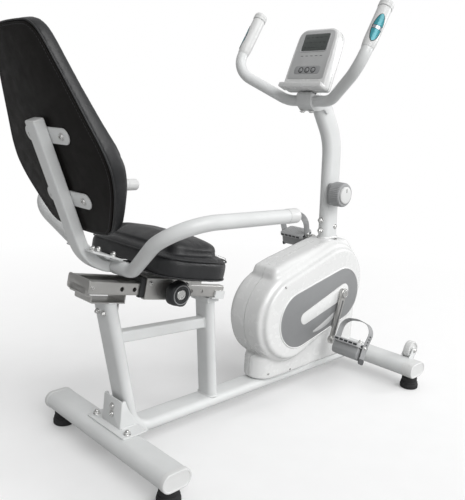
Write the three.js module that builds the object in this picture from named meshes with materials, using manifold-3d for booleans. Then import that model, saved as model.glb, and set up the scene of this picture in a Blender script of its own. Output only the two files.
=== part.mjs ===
// Recumbent magnetic exercise bike, built as separate pieces.
// Millimetres, +Z up, +X is the way the rider faces, +Y is the rider's left.
// All stations below are measured from the rear stabiliser's axis (x = 0); the whole
// bike is moved by ORIGIN_X at the end, so that its footprint is centred on the origin.
import * as THREE from 'three';
import { mergeVertices } from 'three/addons/utils/BufferGeometryUtils.js';
import Module from 'manifold-3d';

const wasm = await Module();
wasm.setup();
const { Manifold, Mesh } = wasm;

// ---------- driving dimensions ----------
const ORIGIN_X = 408.2;
const GAP = 0.3; // clearance between touching pieces
const TUBE_WALL = 2;

const STAB = { z: 63, height: 44, rearDepth: 78, frontDepth: 80, frontX: 961, halfLength: 260, cap: 14 };
const FOOT = { rearY: 230, frontY: 234, radius: 28 };
const WHEEL = { x: 1008, y: 200, z: 105, radius: 28 };

const BEAM = { width: 70, thick: 30, z: 66, frontX: 914 };
const REAR_POST_TOP = [-14.5, 396];
const REAR_BEND = [51.6, 66];
const FRONT_POST = { bottom: [309.4, 81.4], top: [287, 357], width: 60, thick: 30 };

const RAIL_SLOPE = THREE.MathUtils.degToRad(10.6);
const RAIL = { from: -163, to: 234 };
const TRAY = { rear: -150, front: -58, low: 392.8, high: 414.6, sheet: 3, half: 34 };
const CARRIAGE = { from: -20, to: 114 };
const PIN = { s: 56.5, h: 429, radius: 5, pitch: 34 };

const BACK_LEAN = THREE.MathUtils.degToRad(20);
const BACK_FOOT = [-74.2, 570]; // lower edge of the backrest's rear face
const BACK_THICK = 52;
const SEAT_TUBE = {
  width: 40,
  thick: 25,
  back: [-176.8, 801.9],
  corner: [-65, 494.7],
  front: [190.5, 446.9],
};
const SEAT_PAD = { from: -62, to: 144, half: 180, low: 478, side: 52, crown: 36, recess: 491 };

const HANDLE = { radius: 15.5, y: 304, tip: [279, 619.7], inner: 20.6 };
const MAST = { width: 67, thick: 36, foot: [784.5, 467] };
const SOCKET = { width: 62.4, thick: 31.4 };

const CRANK = { x: 776, z: 305, reach: 145, armIn: 80.6, armOut: 92, axle: 96, axleRadius: 10 };
const CRANK_ANGLE = THREE.MathUtils.degToRad(17.5); // right arm's lean behind straight down
const PEDAL = { inner: 108, outer: 204, length: 62, spindle: 7, tilt: { right: 28, left: -16 } };
const PULLEY = { radius: 90, y0: -33, y1: -21 };
const FLYWHEEL = { x: 570, z: 262, radius: 105, y0: -14, pulley: 15 };

const COVER = { rear: [570, 262, 134], front: [767, 332, 126], y: 60, face: 75, wall: 3 };
const INSERT = { rear: [590, 255, 82], front: [780, 300, 80], thick: 2.4 };
const SLOT_BAND = { rear: [612, 255], front: [789, 309], radius: 19, boss: 24 };
const KNOB = { x: 769, z: 606, y0: -31 };

const BAR = { radius: 15.5, centre: [652, 874], bend: [572, 955], tip: [672, 1122], y: 222 };
const CONSOLE_LEAN = THREE.MathUtils.degToRad(21.4);
const CONSOLE = { foot: [617, 905], depth: 38 };

// ---------- solids ----------
function clean(geometry) {
  const g = geometry.clone();
  g.deleteAttribute('uv');
  g.deleteAttribute('normal');
  const merged = mergeVertices(g, 1e-3);
  const p = merged.attributes.position;
  const kept = [];
  let volume = 0;
  for (let i = 0; i < merged.index.count; i += 3) {
    const [a, b, c] = [0, 1, 2].map((k) => merged.index.getX(i + k));
    if (a === b || b === c || a === c) continue;
    kept.push(a, b, c);
    const [va, vb, vc] = [a, b, c].map((k) => new THREE.Vector3().fromBufferAttribute(p, k));
    volume += va.dot(vb.cross(vc));
  }
  if (volume < 0) {
    for (let i = 0; i < kept.length; i += 3) [kept[i], kept[i + 1]] = [kept[i + 1], kept[i]];
  }
  merged.setIndex(kept);
  return merged;
}

function solid(geometry) {
  const g = clean(geometry);
  const mesh = new Mesh({
    numProp: 3,
    vertProperties: new Float32Array(g.attributes.position.array),
    triVerts: new Uint32Array(g.index.array),
  });
  mesh.merge();
  return new Manifold(mesh);
}

function geometryOf(manifold) {
  const mesh = manifold.getMesh();
  const g = new THREE.BufferGeometry();
  g.setAttribute('position', new THREE.BufferAttribute(new Float32Array(mesh.vertProperties), 3));
  g.setIndex(Array.from(mesh.triVerts));
  return g;
}

const join = (...parts) => geometryOf(Manifold.union(parts.map(solid)));
const cut = (base, ...tools) => geometryOf(Manifold.difference([solid(base), ...tools.map(solid)]));

function box(x0, x1, y0, y1, z0, z1) {
  const g = new THREE.BoxGeometry(x1 - x0, y1 - y0, z1 - z0);
  return g.translate((x0 + x1) / 2, (y0 + y1) / 2, (z0 + z1) / 2);
}

// A round bar along Y.
function barY(x, z, radius, y0, y1, sides = 24) {
  const bar = new THREE.CylinderGeometry(radius, radius, Math.abs(y1 - y0), sides);
  return bar.translate(x, (y0 + y1) / 2, z);
}

// A turned piece: profile of [radius, along] pairs, its axis laid along Y from y0 towards -Y or +Y.
function turnedY(profile, x, y0, z, sides = 32, sign = 1) {
  const points = profile.map(([r, a]) => new THREE.Vector2(r, sign * a));
  return new THREE.LatheGeometry(points, sides).translate(x, y0, z);
}

function turnedZ(profile, x, y, z, sides = 32) {
  const points = profile.map(([r, a]) => new THREE.Vector2(r, a));
  return new THREE.LatheGeometry(points, sides).rotateX(Math.PI / 2).translate(x, y, z);
}

// Flat-oval outline: width along its first axis, thick along its second, the smaller one rounded.
function oval(width, thick, turns = 5) {
  if (width < thick) {
    const upright = oval(thick, width, turns).getPoints();
    return new THREE.Shape(upright.map((p) => new THREE.Vector2(-p.y, p.x)));
  }
  const r = thick / 2;
  const reach = width / 2 - r;
  const points = [];
  for (const side of [1, -1]) {
    for (let i = 0; i <= turns; i++) {
      const a = side * (Math.PI / 2) - (Math.PI * i) / turns;
      points.unshift(new THREE.Vector2(side * reach + r * Math.cos(a), r * Math.sin(a)));
    }
  }
  return new THREE.Shape(points);
}

function rounded(width, thick, r, turns = 3) {
  const points = [];
  const corners = [[1, 1, 0], [-1, 1, 1], [-1, -1, 2], [1, -1, 3]];
  for (const [sx, sy, quarter] of corners) {
    for (let i = 0; i <= turns; i++) {
      const a = (Math.PI / 2) * (quarter + i / turns);
      const x = sx * (width / 2 - r) + r * Math.cos(a);
      const y = sy * (thick / 2 - r) + r * Math.sin(a);
      points.push(new THREE.Vector2(x, y));
    }
  }
  return new THREE.Shape(points);
}

function ring(radius, sides = 16) {
  const points = [];
  for (let i = 0; i < sides; i++) {
    const a = (2 * Math.PI * i) / sides;
    points.push(new THREE.Vector2(radius * Math.cos(a), radius * Math.sin(a)));
  }
  return new THREE.Shape(points);
}

function withHole(outer, inner) {
  outer.holes.push(new THREE.Path(inner.getPoints()));
  return outer;
}

// A route of straight runs joined by bends: corners are [x, y, z, bendRadius].
class Route extends THREE.Curve {
  constructor(corners, bendSteps = 6, side = [0, 1, 0]) {
    super();
    this.side = new THREE.Vector3(...side);
    this.stations = [];
    const v = corners.map(([x, y, z]) => new THREE.Vector3(x, y, z));
    const add = (point, tangent) => this.stations.push([point, tangent.clone().normalize()]);
    add(v[0], v[1].clone().sub(v[0]));
    for (let i = 1; i < v.length - 1; i++) {
      const back = v[i - 1].clone().sub(v[i]).normalize();
      const ahead = v[i + 1].clone().sub(v[i]).normalize();
      const angle = back.angleTo(ahead);
      const radius = corners[i][3];
      const reach = radius / Math.tan(angle / 2);
      const bisector = back.clone().add(ahead).normalize();
      const centre = bisector.multiplyScalar(radius / Math.sin(angle / 2)).add(v[i]);
      const from = back.clone().multiplyScalar(reach).add(v[i]).sub(centre);
      const to = ahead.clone().multiplyScalar(reach).add(v[i]).sub(centre);
      const sweep = from.angleTo(to);
      for (let k = 0; k <= bendSteps; k++) {
        const t = k / bendSteps;
        const p = from.clone().multiplyScalar(Math.sin((1 - t) * sweep) / Math.sin(sweep));
        p.addScaledVector(to, Math.sin(t * sweep) / Math.sin(sweep));
        const tangent = from.clone().multiplyScalar(-Math.cos((1 - t) * sweep));
        tangent.addScaledVector(to, Math.cos(t * sweep));
        add(p.add(centre), tangent);
      }
    }
    const last = v.length - 1;
    add(v[last], v[last].clone().sub(v[last - 1]));
  }

  index(u) {
    return Math.round(u * (this.stations.length - 1));
  }

  getPointAt(u) {
    return this.stations[this.index(u)][0].clone();
  }

  getTangentAt(u) {
    return this.stations[this.index(u)][1].clone();
  }

  // The section's first axis starts along `side` and is carried along without twist.
  computeFrenetFrames() {
    const tangents = this.stations.map(([, t]) => t.clone());
    const normals = [];
    let carried = this.side;
    for (const t of tangents) {
      carried = carried.clone().addScaledVector(t, -carried.dot(t)).normalize();
      normals.push(carried);
    }
    const binormals = tangents.map((t, i) => t.clone().cross(normals[i]));
    return { tangents, normals, binormals };
  }
}

function sweep(shape, route) {
  return new THREE.ExtrudeGeometry(shape, { steps: route.stations.length - 1, extrudePath: route });
}

const shapeOf = (points) => new THREE.Shape(points.map(([a, b]) => new THREE.Vector2(a, b)));

// A bar along X from x = from: outline in (y, z), with an optional bevel at both ends.
function alongX(outline, from, to, bevel = 0, steps = 1) {
  const shape = outline instanceof THREE.Shape ? outline : shapeOf(outline);
  const g = new THREE.ExtrudeGeometry(shape, {
    depth: to - from - 2 * bevel,
    bevelEnabled: bevel > 0,
    bevelThickness: bevel,
    bevelSize: bevel,
    bevelOffset: -bevel,
    bevelSegments: steps,
  });
  const turn = new THREE.Matrix4().set(0, 0, 1, from + bevel, 1, 0, 0, 0, 0, 1, 0, 0, 0, 0, 0, 1);
  return g.applyMatrix4(turn);
}

// A plate: outline in (x, z), thickness from y0 to y1, with an optional bevel at both faces.
function plateY(outline, y0, y1, bevel = 0, steps = 1) {
  const shape = outline instanceof THREE.Shape ? outline : shapeOf(outline);
  const depth = y1 - y0 - 2 * bevel;
  const g = new THREE.ExtrudeGeometry(shape, {
    depth,
    bevelEnabled: bevel > 0,
    bevelThickness: bevel,
    bevelSize: bevel,
    bevelOffset: -bevel,
    bevelSegments: steps,
    curveSegments: 1,
  });
  return g.rotateX(Math.PI / 2).translate(0, y1 - bevel, 0);
}

// The outline around two circles, [x, z, radius] each.
function band(a, b, grow = 0, steps = 12) {
  const [ax, az, ar] = a;
  const [bx, bz, br] = b;
  const heading = Math.atan2(bz - az, bx - ax);
  const gap = Math.hypot(bx - ax, bz - az);
  const lean = Math.acos((ar - br) / gap);
  const points = [];
  for (let i = 0; i <= steps; i++) {
    const t = heading + lean + ((2 * Math.PI - 2 * lean) * i) / steps;
    points.push([ax + (ar + grow) * Math.cos(t), az + (ar + grow) * Math.sin(t)]);
  }
  for (let i = 0; i <= steps; i++) {
    const t = heading - lean + (2 * lean * i) / steps;
    points.push([bx + (br + grow) * Math.cos(t), bz + (br + grow) * Math.sin(t)]);
  }
  return points;
}

const onRail = (g) => g.rotateY(RAIL_SLOPE);
const onBack = (g) => g.rotateY(-BACK_LEAN).translate(BACK_FOOT[0], 0, BACK_FOOT[1]);
const onConsole = (g) => g.rotateY(CONSOLE_LEAN).translate(CONSOLE.foot[0], 0, CONSOLE.foot[1]);
const mirrored = (g) => clean(g.clone().scale(1, -1, 1));

// ---------- finishes ----------
const FINISH = {
  paint: [0xe2e4e3, 0.4, 0.1],
  shell: [0xeff0ef, 0.3, 0],
  insert: [0x9a9c9d, 0.35, 0.3],
  steel: [0xb4b5b3, 0.35, 0.9],
  castIron: [0x55585b, 0.6, 0.7],
  blackPlastic: [0x17181a, 0.5, 0],
  greyPlastic: [0x9fa1a2, 0.5, 0],
  rubber: [0x141414, 0.85, 0],
  vinyl: [0x232427, 0.55, 0],
  whitePlastic: [0xe6e7e6, 0.45, 0],
};

const bike = new THREE.Group();
bike.name = 'exercise_bike';

function piece(name, geometry, finish) {
  const [color, roughness, metalness] = FINISH[finish];
  const material = new THREE.MeshStandardMaterial({ color, roughness, metalness });
  const mesh = new THREE.Mesh(clean(geometry).translate(-ORIGIN_X, 0, 0), material);
  mesh.name = name;
  bike.add(mesh);
}

// Hollow flat-oval tube section.
const flat = (width, thick) =>
  withHole(oval(width, thick), oval(width - 2 * TUBE_WALL, thick - 2 * TUBE_WALL));

// ---------- stabilisers, feet and transport wheels ----------
function stabiliserTube(x, depth, reach) {
  const section = flat(depth, STAB.height);
  const bar = new THREE.ExtrudeGeometry(section, { depth: 2 * reach, bevelEnabled: false });
  return bar.rotateX(Math.PI / 2).translate(x, reach, STAB.z);
}

function stabiliserCap(x, depth, length) {
  const inside = STAB.halfLength - length;
  const outer = new THREE.ExtrudeGeometry(oval(depth + 2, STAB.height + 2), {
    depth: length - 3,
    bevelEnabled: true,
    bevelThickness: 3,
    bevelSize: 3,
    bevelOffset: -3,
    bevelSegments: 2,
  });
  const flange = cut(outer.rotateX(Math.PI / 2).translate(x, STAB.halfLength - 3, STAB.z),
    box(x - 60, x + 60, 0, inside + GAP, 0, 120));
  const plug = new THREE.ExtrudeGeometry(oval(depth - 2 * TUBE_WALL - 1, STAB.height - 2 * TUBE_WALL - 1), {
    depth: 9,
    bevelEnabled: false,
  });
  return join(flange, plug.rotateX(Math.PI / 2).translate(x, inside + 2, STAB.z));
}

function barZ(x, y, z, radius, length, sides = 12) {
  return new THREE.CylinderGeometry(radius, radius, length, sides).rotateX(Math.PI / 2).translate(x, y, z);
}
const rearHole = (y) => barZ(0, y, 45, 5.4, 30);
const frontHole = (y) => rearHole(y).translate(STAB.frontX, 0, 0);

const rearReach = STAB.halfLength - STAB.cap;
piece('rear_stabilizer_tube',
  cut(stabiliserTube(0, STAB.rearDepth, rearReach), rearHole(FOOT.rearY), rearHole(-FOOT.rearY)), 'paint');
const rearCap = stabiliserCap(0, STAB.rearDepth, STAB.cap);
piece('rear_stabilizer_cap_left', rearCap, 'whitePlastic');
piece('rear_stabilizer_cap_right', mirrored(rearCap), 'whitePlastic');

// The front bar carries two ears for the transport wheels.
const frontCapLength = 36;
const frontReach = STAB.halfLength - frontCapLength;
function wheelEar(y) {
  const outline = [[975, 74], [994, 60], [1001, 66], [1017, 100], [1012, 112], [1001, 114], [980, 86]];
  return plateY(outline, y, y + 3.5);
}
const ears = [WHEEL.y - 16.2, WHEEL.y + 12.7, -WHEEL.y - 16.2, -WHEEL.y + 12.7].map(wheelEar);
const wheelPins = [1, -1].map((s) => barY(WHEEL.x, WHEEL.z, 4, s * WHEEL.y - 15, s * WHEEL.y + 15, 12));
const frontInside = new THREE.ExtrudeGeometry(oval(STAB.frontDepth - 1, STAB.height - 1), {
  depth: 2 * STAB.halfLength,
  bevelEnabled: false,
});
const earParts = ears.map((ear) =>
  cut(ear, frontInside.clone().rotateX(Math.PI / 2).translate(STAB.frontX, STAB.halfLength, STAB.z)));
piece('front_stabilizer_tube',
  join(stabiliserTube(STAB.frontX, STAB.frontDepth, frontReach), ...earParts, ...wheelPins), 'paint');

const frontCap = cut(stabiliserCap(STAB.frontX, STAB.frontDepth, frontCapLength), frontHole(FOOT.frontY));
piece('front_stabilizer_cap_left', frontCap, 'whitePlastic');
piece('front_stabilizer_cap_right', mirrored(frontCap), 'whitePlastic');

const wheelHalf = [[4.3, -11], [9, -11], [11, -8], [22, -8], [24, -11], [27, -9.5], [WHEEL.radius, -6]];
const wheelProfile = [...wheelHalf, ...wheelHalf.slice().reverse().map(([r, a]) => [r, -a]), wheelHalf[0]];
for (const [side, s] of [['left', 1], ['right', -1]]) {
  const wheel = turnedY(wheelProfile, WHEEL.x, s * WHEEL.y, WHEEL.z, 20);
  piece(`transport_wheel_${side}`, wheel, 'whitePlastic');
}

function foot(x, y, top) {
  const rim = [[0, 0], [22, 0], [FOOT.radius, 3], [FOOT.radius, 16], [21, 19], [21, top - 5]];
  const stud = [[18, top - 1.4], [5, top - 1.4], [5, top + 14], [0, top + 14]];
  const profile = [...rim, ...stud];
  return turnedZ(profile, x, y, 0, 20);
}
const underRear = STAB.z - STAB.height / 2;
piece('rear_foot_left', foot(0, FOOT.rearY, underRear), 'rubber');
piece('rear_foot_right', foot(0, -FOOT.rearY, underRear), 'rubber');
piece('front_foot_left', foot(STAB.frontX, FOOT.frontY, underRear - 1), 'rubber');
piece('front_foot_right', foot(STAB.frontX, -FOOT.frontY, underRear - 1), 'rubber');

// ---------- welded main frame ----------
const beamRoute = new Route([
  [BEAM.frontX, 0, BEAM.z],
  [REAR_BEND[0], 0, REAR_BEND[1], 60],
  [REAR_POST_TOP[0], 0, REAR_POST_TOP[1]],
], 7);
piece('main_frame_tube', sweep(flat(BEAM.width, BEAM.thick), beamRoute), 'paint');

const { bottom, top } = FRONT_POST;
const postRoute = new Route([[bottom[0], 0, bottom[1]], [top[0], 0, top[1]]]);
const postTrim = box(200, 400, -60, 60, 60, BEAM.z + BEAM.thick / 2 + GAP);
const postBar = sweep(flat(FRONT_POST.width, FRONT_POST.thick), postRoute);
piece('front_seat_post', cut(postBar, postTrim), 'paint');

const crossbar = sweep(withHole(rounded(28, 28, 4, 2), rounded(24, 24, 2, 1)),
  new Route([[12, 0, 308.4], [284, 0, 291.6]]));
piece('frame_crossbar', cut(
  crossbar,
  sweep(oval(BEAM.width + 2 * GAP, BEAM.thick + 2 * GAP), beamRoute),
  sweep(oval(FRONT_POST.width + 2 * GAP, FRONT_POST.thick + 2 * GAP), postRoute),
), 'paint');

// Folded foot bracket: base plate bolted to the rear bar, boxed cheeks either side of the bend.
const cheek = [
  [0, 87], [6, 158], [17, 158], [23, 138], [32, 121], [43, 106],
  [58, 87], [79, 70], [86, 58], [66, 58], [46, 87],
];
const boltHole = (y) => barZ(1, y, 87, 4.3, 20);
const bendClear = sweep(oval(BEAM.width + 2 * GAP, BEAM.thick + 2 * GAP), beamRoute);
const basePlate = cut(plateY([[-18, 85.3], [50, 85.3], [50, 89.3], [-18, 89.3]], -80, 80),
  boltHole(67), boltHole(-67), bendClear);
piece('rear_foot_bracket', join(
  basePlate,
  plateY(cheek, 35.4, 38.6),
  plateY(cheek, -38.6, -35.4),
  plateY([[0, 87], [3.4, 87], [9.4, 158], [6, 158]], -38, 38),
), 'paint');

// Saddle that carries the front bar at the end of the beam.
function saddleSolid(grow, half) {
  const section = oval(STAB.frontDepth + grow, STAB.height + grow);
  const g = new THREE.ExtrudeGeometry(section, { depth: 2 * half, bevelEnabled: false });
  return g.rotateX(Math.PI / 2).translate(STAB.frontX, half, STAB.z);
}
const saddleWall = 4;
piece('front_saddle_bracket', cut(
  saddleSolid(2 * (saddleWall + GAP), 55),
  saddleSolid(2 * GAP, 65),
  box(STAB.frontX + 12, STAB.frontX + 60, -70, 70, 20, 120),
), 'paint');

// ---------- seat rail and its two brackets ----------
const railSection = [
  [-45, 415], [45, 415], [45, 445], [25, 445], [25, 442], [42, 442],
  [42, 418], [-42, 418], [-42, 442], [-25, 442], [-25, 445], [-45, 445],
];
const railBar = alongX(railSection, RAIL.from, RAIL.to);
const railHoles = [-4, -3, -2, -1, 0, 1, 2, 3].map((k) =>
  barY(PIN.s + PIN.pitch * k, PIN.h, PIN.radius + GAP, -50, -38, 12));
piece('seat_rail', onRail(cut(railBar, ...railHoles)), 'steel');

// Tray bracket on the rear post's top: folded strip under the rail's rear end, with a front tab.
const trayWall = (from, low) =>
  box(from, from + TRAY.sheet, -TRAY.half, TRAY.half, low, TRAY.high);
const tray = join(
  box(TRAY.rear, TRAY.front, -TRAY.half, TRAY.half, TRAY.low, TRAY.low + TRAY.sheet),
  trayWall(TRAY.rear, TRAY.low),
  trayWall(TRAY.front - TRAY.sheet, TRAY.low),
  box(TRAY.front - TRAY.sheet, TRAY.front, -13, 13, 366, TRAY.low + TRAY.sheet),
);
piece('rail_rear_bracket', onRail(tray), 'steel');

const frontBracket = join(
  onRail(box(196, 236, -50, 50, 411.4, 414.7)),
  onRail(box(204, 236, 45.3, 50, 411.4, 432)),
  onRail(box(204, 236, -50, -45.3, 411.4, 432)),
  box(268, 306, -33, 33, 352, 366),
);
const postClear = sweep(oval(FRONT_POST.width + 0.8, FRONT_POST.thick + 0.8),
  new Route([[bottom[0], 0, bottom[1]], [top[0] - 0.1, 0, top[1] + 0.4]]));
const railClear = onRail(box(180, 260, -45.2, 45.2, 414.75, 470));
piece('rail_front_bracket', cut(frontBracket, postClear, railClear), 'paint');

// ---------- drive frame inside the cover, with the post the mast slides over ----------
const armOutline = [
  [560, 246], [566, 244], [640, 262], [790, 232], [800, 250],
  [800, 330], [770, 340], [640, 300], [566, 280], [560, 278],
];
const socketRoute = new Route([[798, 0, 82.4], [781.76, 0, 545]]);
const driveFrame = join(
  sweep(withHole(oval(SOCKET.thick, SOCKET.width), oval(SOCKET.thick - 5, SOCKET.width - 5)), socketRoute),
  barY(CRANK.x, CRANK.z, 21, -20, 50, 24),
  plateY(armOutline, 15, 20),
  barY(FLYWHEEL.x, FLYWHEEL.z, 16, 15, 24, 20),
  barY(FLYWHEEL.x, FLYWHEEL.z, 6, -38, 20, 16),
);
const bearingFit = 0.06;
const bearing = barY(CRANK.x, CRANK.z, CRANK.axleRadius + bearingFit, -60, 60, 32);
piece('drive_frame', cut(driveFrame, bearing), 'paint');

// ---------- crankset ----------
const axleLength = 2 * CRANK.axle;
const axleEnd = [[0, 0], [7, 0], [9, 2], [CRANK.axleRadius, 4]];
const axleProfile = [...axleEnd, ...axleEnd.slice().reverse().map(([r, a]) => [r, axleLength - a])];
piece('crank_axle', turnedY(axleProfile, CRANK.x, -CRANK.axle, CRANK.z, 32), 'steel');

const away = [-Math.sin(CRANK_ANGLE), -Math.cos(CRANK_ANGLE)];
const pedalAt = (s) => [CRANK.x + s * CRANK.reach * away[0], CRANK.z + s * CRANK.reach * away[1]];
function crankArm(s) {
  const [px, pz] = pedalAt(s);
  const y0 = s > 0 ? -CRANK.armOut : CRANK.armIn;
  const y1 = s > 0 ? -CRANK.armIn : CRANK.armOut;
  const web = plateY(band([CRANK.x, CRANK.z, 13.5], [px, pz, 10.5]), y0, y1, 2);
  const hub = barY(CRANK.x, CRANK.z, 16, y0, y1, 24);
  const eye = barY(px, pz, 13, y0, y1, 20);
  const tip = s > 0 ? [-PEDAL.outer + 4, -CRANK.armIn - 1] : [CRANK.armIn + 1, PEDAL.outer - 4];
  const spindle = barY(px, pz, PEDAL.spindle, tip[0], tip[1], 20);
  return cut(join(web, hub, eye, spindle), barY(CRANK.x, CRANK.z, CRANK.axleRadius + GAP, -110, 110, 32));
}
piece('crank_arm_right', crankArm(1), 'steel');
piece('crank_arm_left', crankArm(-1), 'steel');

const pulleyBore = CRANK.axleRadius + GAP;
const pulleyFace = [[pulleyBore, 0], [24, 0], [26, 3], [80, 3], [82, 0], [PULLEY.radius, 0]];
const pulleyBack = pulleyFace.slice().reverse().map(([r, a]) => [r, PULLEY.y1 - PULLEY.y0 - a]);
const pulley = turnedY([...pulleyFace, ...pulleyBack, pulleyFace[0]], CRANK.x, PULLEY.y0, CRANK.z, 28);
piece('crank_pulley', pulley, 'blackPlastic');

// Pedal: tread slab over a weighted block, both turning on the spindle.
const spindleFit = 0.08;
function tilted(g, s, px, pz) {
  const angle = THREE.MathUtils.degToRad(s > 0 ? PEDAL.tilt.right : PEDAL.tilt.left);
  return g.translate(-px, 0, -pz).rotateY(angle).translate(px, 0, pz);
}

function pedal(s) {
  const [px, pz] = pedalAt(s);
  const [y0, y1] = s > 0 ? [-PEDAL.outer, -PEDAL.inner] : [PEDAL.inner, PEDAL.outer];
  const mid = (y0 + y1) / 2;
  const tread = new THREE.ExtrudeGeometry(rounded(PEDAL.length, y1 - y0, 12, 3), {
    depth: 8,
    bevelEnabled: true,
    bevelThickness: 3,
    bevelSize: 3,
    bevelOffset: -3,
    bevelSegments: 1,
  });
  tread.translate(px, mid, pz + 5);
  const weight = [[-22, 5], [-24, -18], [-16, -34], [16, -34], [24, -18], [22, 5]];
  const block = plateY(weight, y0 + 3, y1 - 3, 2).translate(px, 0, pz);
  const body = tilted(join(tread, block), s, px, pz);
  return cut(body, barY(px, pz, PEDAL.spindle + spindleFit, y0 - 5, y1 + 5, 32));
}

// Foot strap: a strip arched over the tread, held at its sides.
function strap(s) {
  const [px, pz] = pedalAt(s);
  const [y0, y1] = s > 0 ? [-PEDAL.outer, -PEDAL.inner] : [PEDAL.inner, PEDAL.outer];
  const [lo, hi] = [y0 - 1.2, y1 + 1.2];
  const mid = (lo + hi) / 2;
  const route = new Route([
    [px, lo, pz + 8],
    [px, lo, pz + 76, 34],
    [px, mid, pz + 82, 60],
    [px, hi, pz + 76, 34],
    [px, hi, pz + 8],
  ], 4, [1, 0, 0]);
  return tilted(sweep(rounded(24, 1.8, 0.6, 1), route), s, px, pz);
}
for (const [side, s] of [['right', 1], ['left', -1]]) {
  piece(`pedal_${side}`, pedal(s), 'greyPlastic');
  piece(`pedal_strap_${side}`, strap(s), 'greyPlastic');
}

// ---------- flywheel, belt and magnet arm ----------
const flywheelBore = 6 + bearingFit;
const flywheelProfile = [
  [flywheelBore, -18], [8, -18], [FLYWHEEL.pulley, -18], [FLYWHEEL.pulley, -6], [22, -5], [24, 0],
  [26, 9], [84, 9], [86, 0], [103, 0], [FLYWHEEL.radius, 2], [FLYWHEEL.radius, 25], [103, 27],
  [86, 27], [84, 17], [26, 17], [24, 27], [flywheelBore, 27], [flywheelBore, -18],
];
piece('flywheel', turnedY(flywheelProfile, FLYWHEEL.x, FLYWHEEL.y0, FLYWHEEL.z, 28), 'castIron');

const beltBand = (grow) =>
  band([FLYWHEEL.x, FLYWHEEL.z, FLYWHEEL.pulley], [CRANK.x, CRANK.z, PULLEY.radius], grow, 20);
const beltGap = 0.6;
const beltThick = 3;
const belt = cut(
  plateY(beltBand(beltGap + beltThick), PULLEY.y0 + 1, PULLEY.y1 - 1),
  plateY(beltBand(beltGap), -60, 0),
);
piece('drive_belt', belt, 'rubber');

const magnetPivot = [FLYWHEEL.x + 88, FLYWHEEL.z - 92];
function arcPoints(radius, a0, a1, steps) {
  const points = [];
  for (let i = 0; i <= steps; i++) {
    const a = THREE.MathUtils.degToRad(a0 + ((a1 - a0) * i) / steps);
    points.push([FLYWHEEL.x + radius * Math.cos(a), FLYWHEEL.z + radius * Math.sin(a)]);
  }
  return points;
}
const magnetOutline = [...arcPoints(109, -130, -48, 8), ...arcPoints(118, -48, -130, 8)];
const magnetNeck = band([...magnetPivot, 9], [FLYWHEEL.x + 76, FLYWHEEL.z - 84, 7]);
const magnetArm = cut(
  join(plateY(magnetOutline, -12, 11), plateY(magnetNeck, -12, 11)),
  barY(FLYWHEEL.x, FLYWHEEL.z, FLYWHEEL.radius + 2.5, -30, 30, 40),
);
piece('magnet_arm', magnetArm, 'steel');

// ---------- mast ----------
const mastRoute = new Route([
  [MAST.foot[0], 0, MAST.foot[1]],
  [774, 0, 766, 170],
  [706, 0, 873],
], 7);
piece('mast', sweep(flat(MAST.thick, MAST.width), mastRoute), 'paint');

// ---------- two-piece cover ----------
// The foot of the cover: round-nosed in plan, standing on the beam.
function nose(rear, low, high, half) {
  const outline = new THREE.Shape();
  outline.moveTo(680, -20);
  outline.lineTo(680, half);
  outline.lineTo(rear + half, half);
  outline.absarc(rear + half, 0, half, Math.PI / 2, Math.PI, false);
  outline.lineTo(rear, -20);
  const g = new THREE.ExtrudeGeometry(outline, {
    depth: high - low - 6,
    bevelEnabled: true,
    bevelThickness: 6,
    bevelSize: 6,
    bevelOffset: -6,
    bevelSegments: 2,
    curveSegments: 7,
  });
  return cut(g.translate(0, 0, low), box(300, 900, -100, 100, 0, low));
}

const slotBand = (grow) =>
  band([...SLOT_BAND.rear, SLOT_BAND.radius], [...SLOT_BAND.front, SLOT_BAND.boss], grow, 9);

function coverHalf() {
  const shoulder = [
    [500, 330], [503, 392], [511, 409], [560, 424], [748, 466],
    [833, 463], [862, 430], [884, 380], [700, 280],
  ];
  const shoulderIn = [
    [503, 330], [506, 390], [513, 406], [560, 420.5], [748, 462.5],
    [831, 459.5], [859, 428], [880, 380], [700, 280],
  ];
  const skirt = [
    [600, 112], [600, 83], [868, 83], [884, 92],
    [893, 130], [893, 335], [700, 330], [600, 262],
  ];
  const skirtIn = [
    [603, 112], [603, 80], [868, 80], [881, 93],
    [890, 130], [890, 335], [700, 330], [603, 262],
  ];
  const outer = join(
    plateY(band(COVER.rear, COVER.front), -20, COVER.y, 8, 2),
    plateY(band(COVER.rear, COVER.front, -12), 20, COVER.face, 9, 2),
    plateY(shoulder, -20, 48, 7, 2),
    plateY(skirt, -20, 50, 8, 2),
    nose(466, 83, 152, 48),
    plateY(slotBand(0), 40, COVER.face + 2.4),
  );
  const inner = join(
    plateY(band(COVER.rear, COVER.front, -COVER.wall), -20, COVER.y - COVER.wall, 7, 1),
    plateY(band(COVER.rear, COVER.front, -12 - COVER.wall), -20, COVER.face - COVER.wall, 8, 1),
    plateY(shoulderIn, -20, 45, 6, 1),
    plateY(skirtIn, -20, 47, 7, 1),
    nose(469, 80, 149, 45),
  );
  const seam = box(300, 1000, -40, 0.15, 40, 560);
  const beamSlot = box(440, 900, -5, 36, 70, 83);
  const mastHole = sweep(oval(MAST.thick + 1, MAST.width + 1),
    new Route([[MAST.foot[0], 0, 440], [MAST.foot[0], 0, 500]]));
  return cut(outer, inner, seam, beamSlot, mastHole, barY(CRANK.x, CRANK.z, 12, 30, 90, 28));
}
const coverLeft = coverHalf();
piece('cover_left', coverLeft, 'shell');
piece('cover_right', mirrored(coverLeft), 'shell');

function insertPanel() {
  const back = COVER.face + GAP;
  const plate = plateY(band(INSERT.rear, INSERT.front, 0, 18), back, back + INSERT.thick);
  return cut(plate, plateY(slotBand(0.4), 60, 90));
}
const insertLeft = insertPanel();
piece('cover_insert_left', insertLeft, 'insert');
piece('cover_insert_right', mirrored(insertLeft), 'insert');

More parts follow.
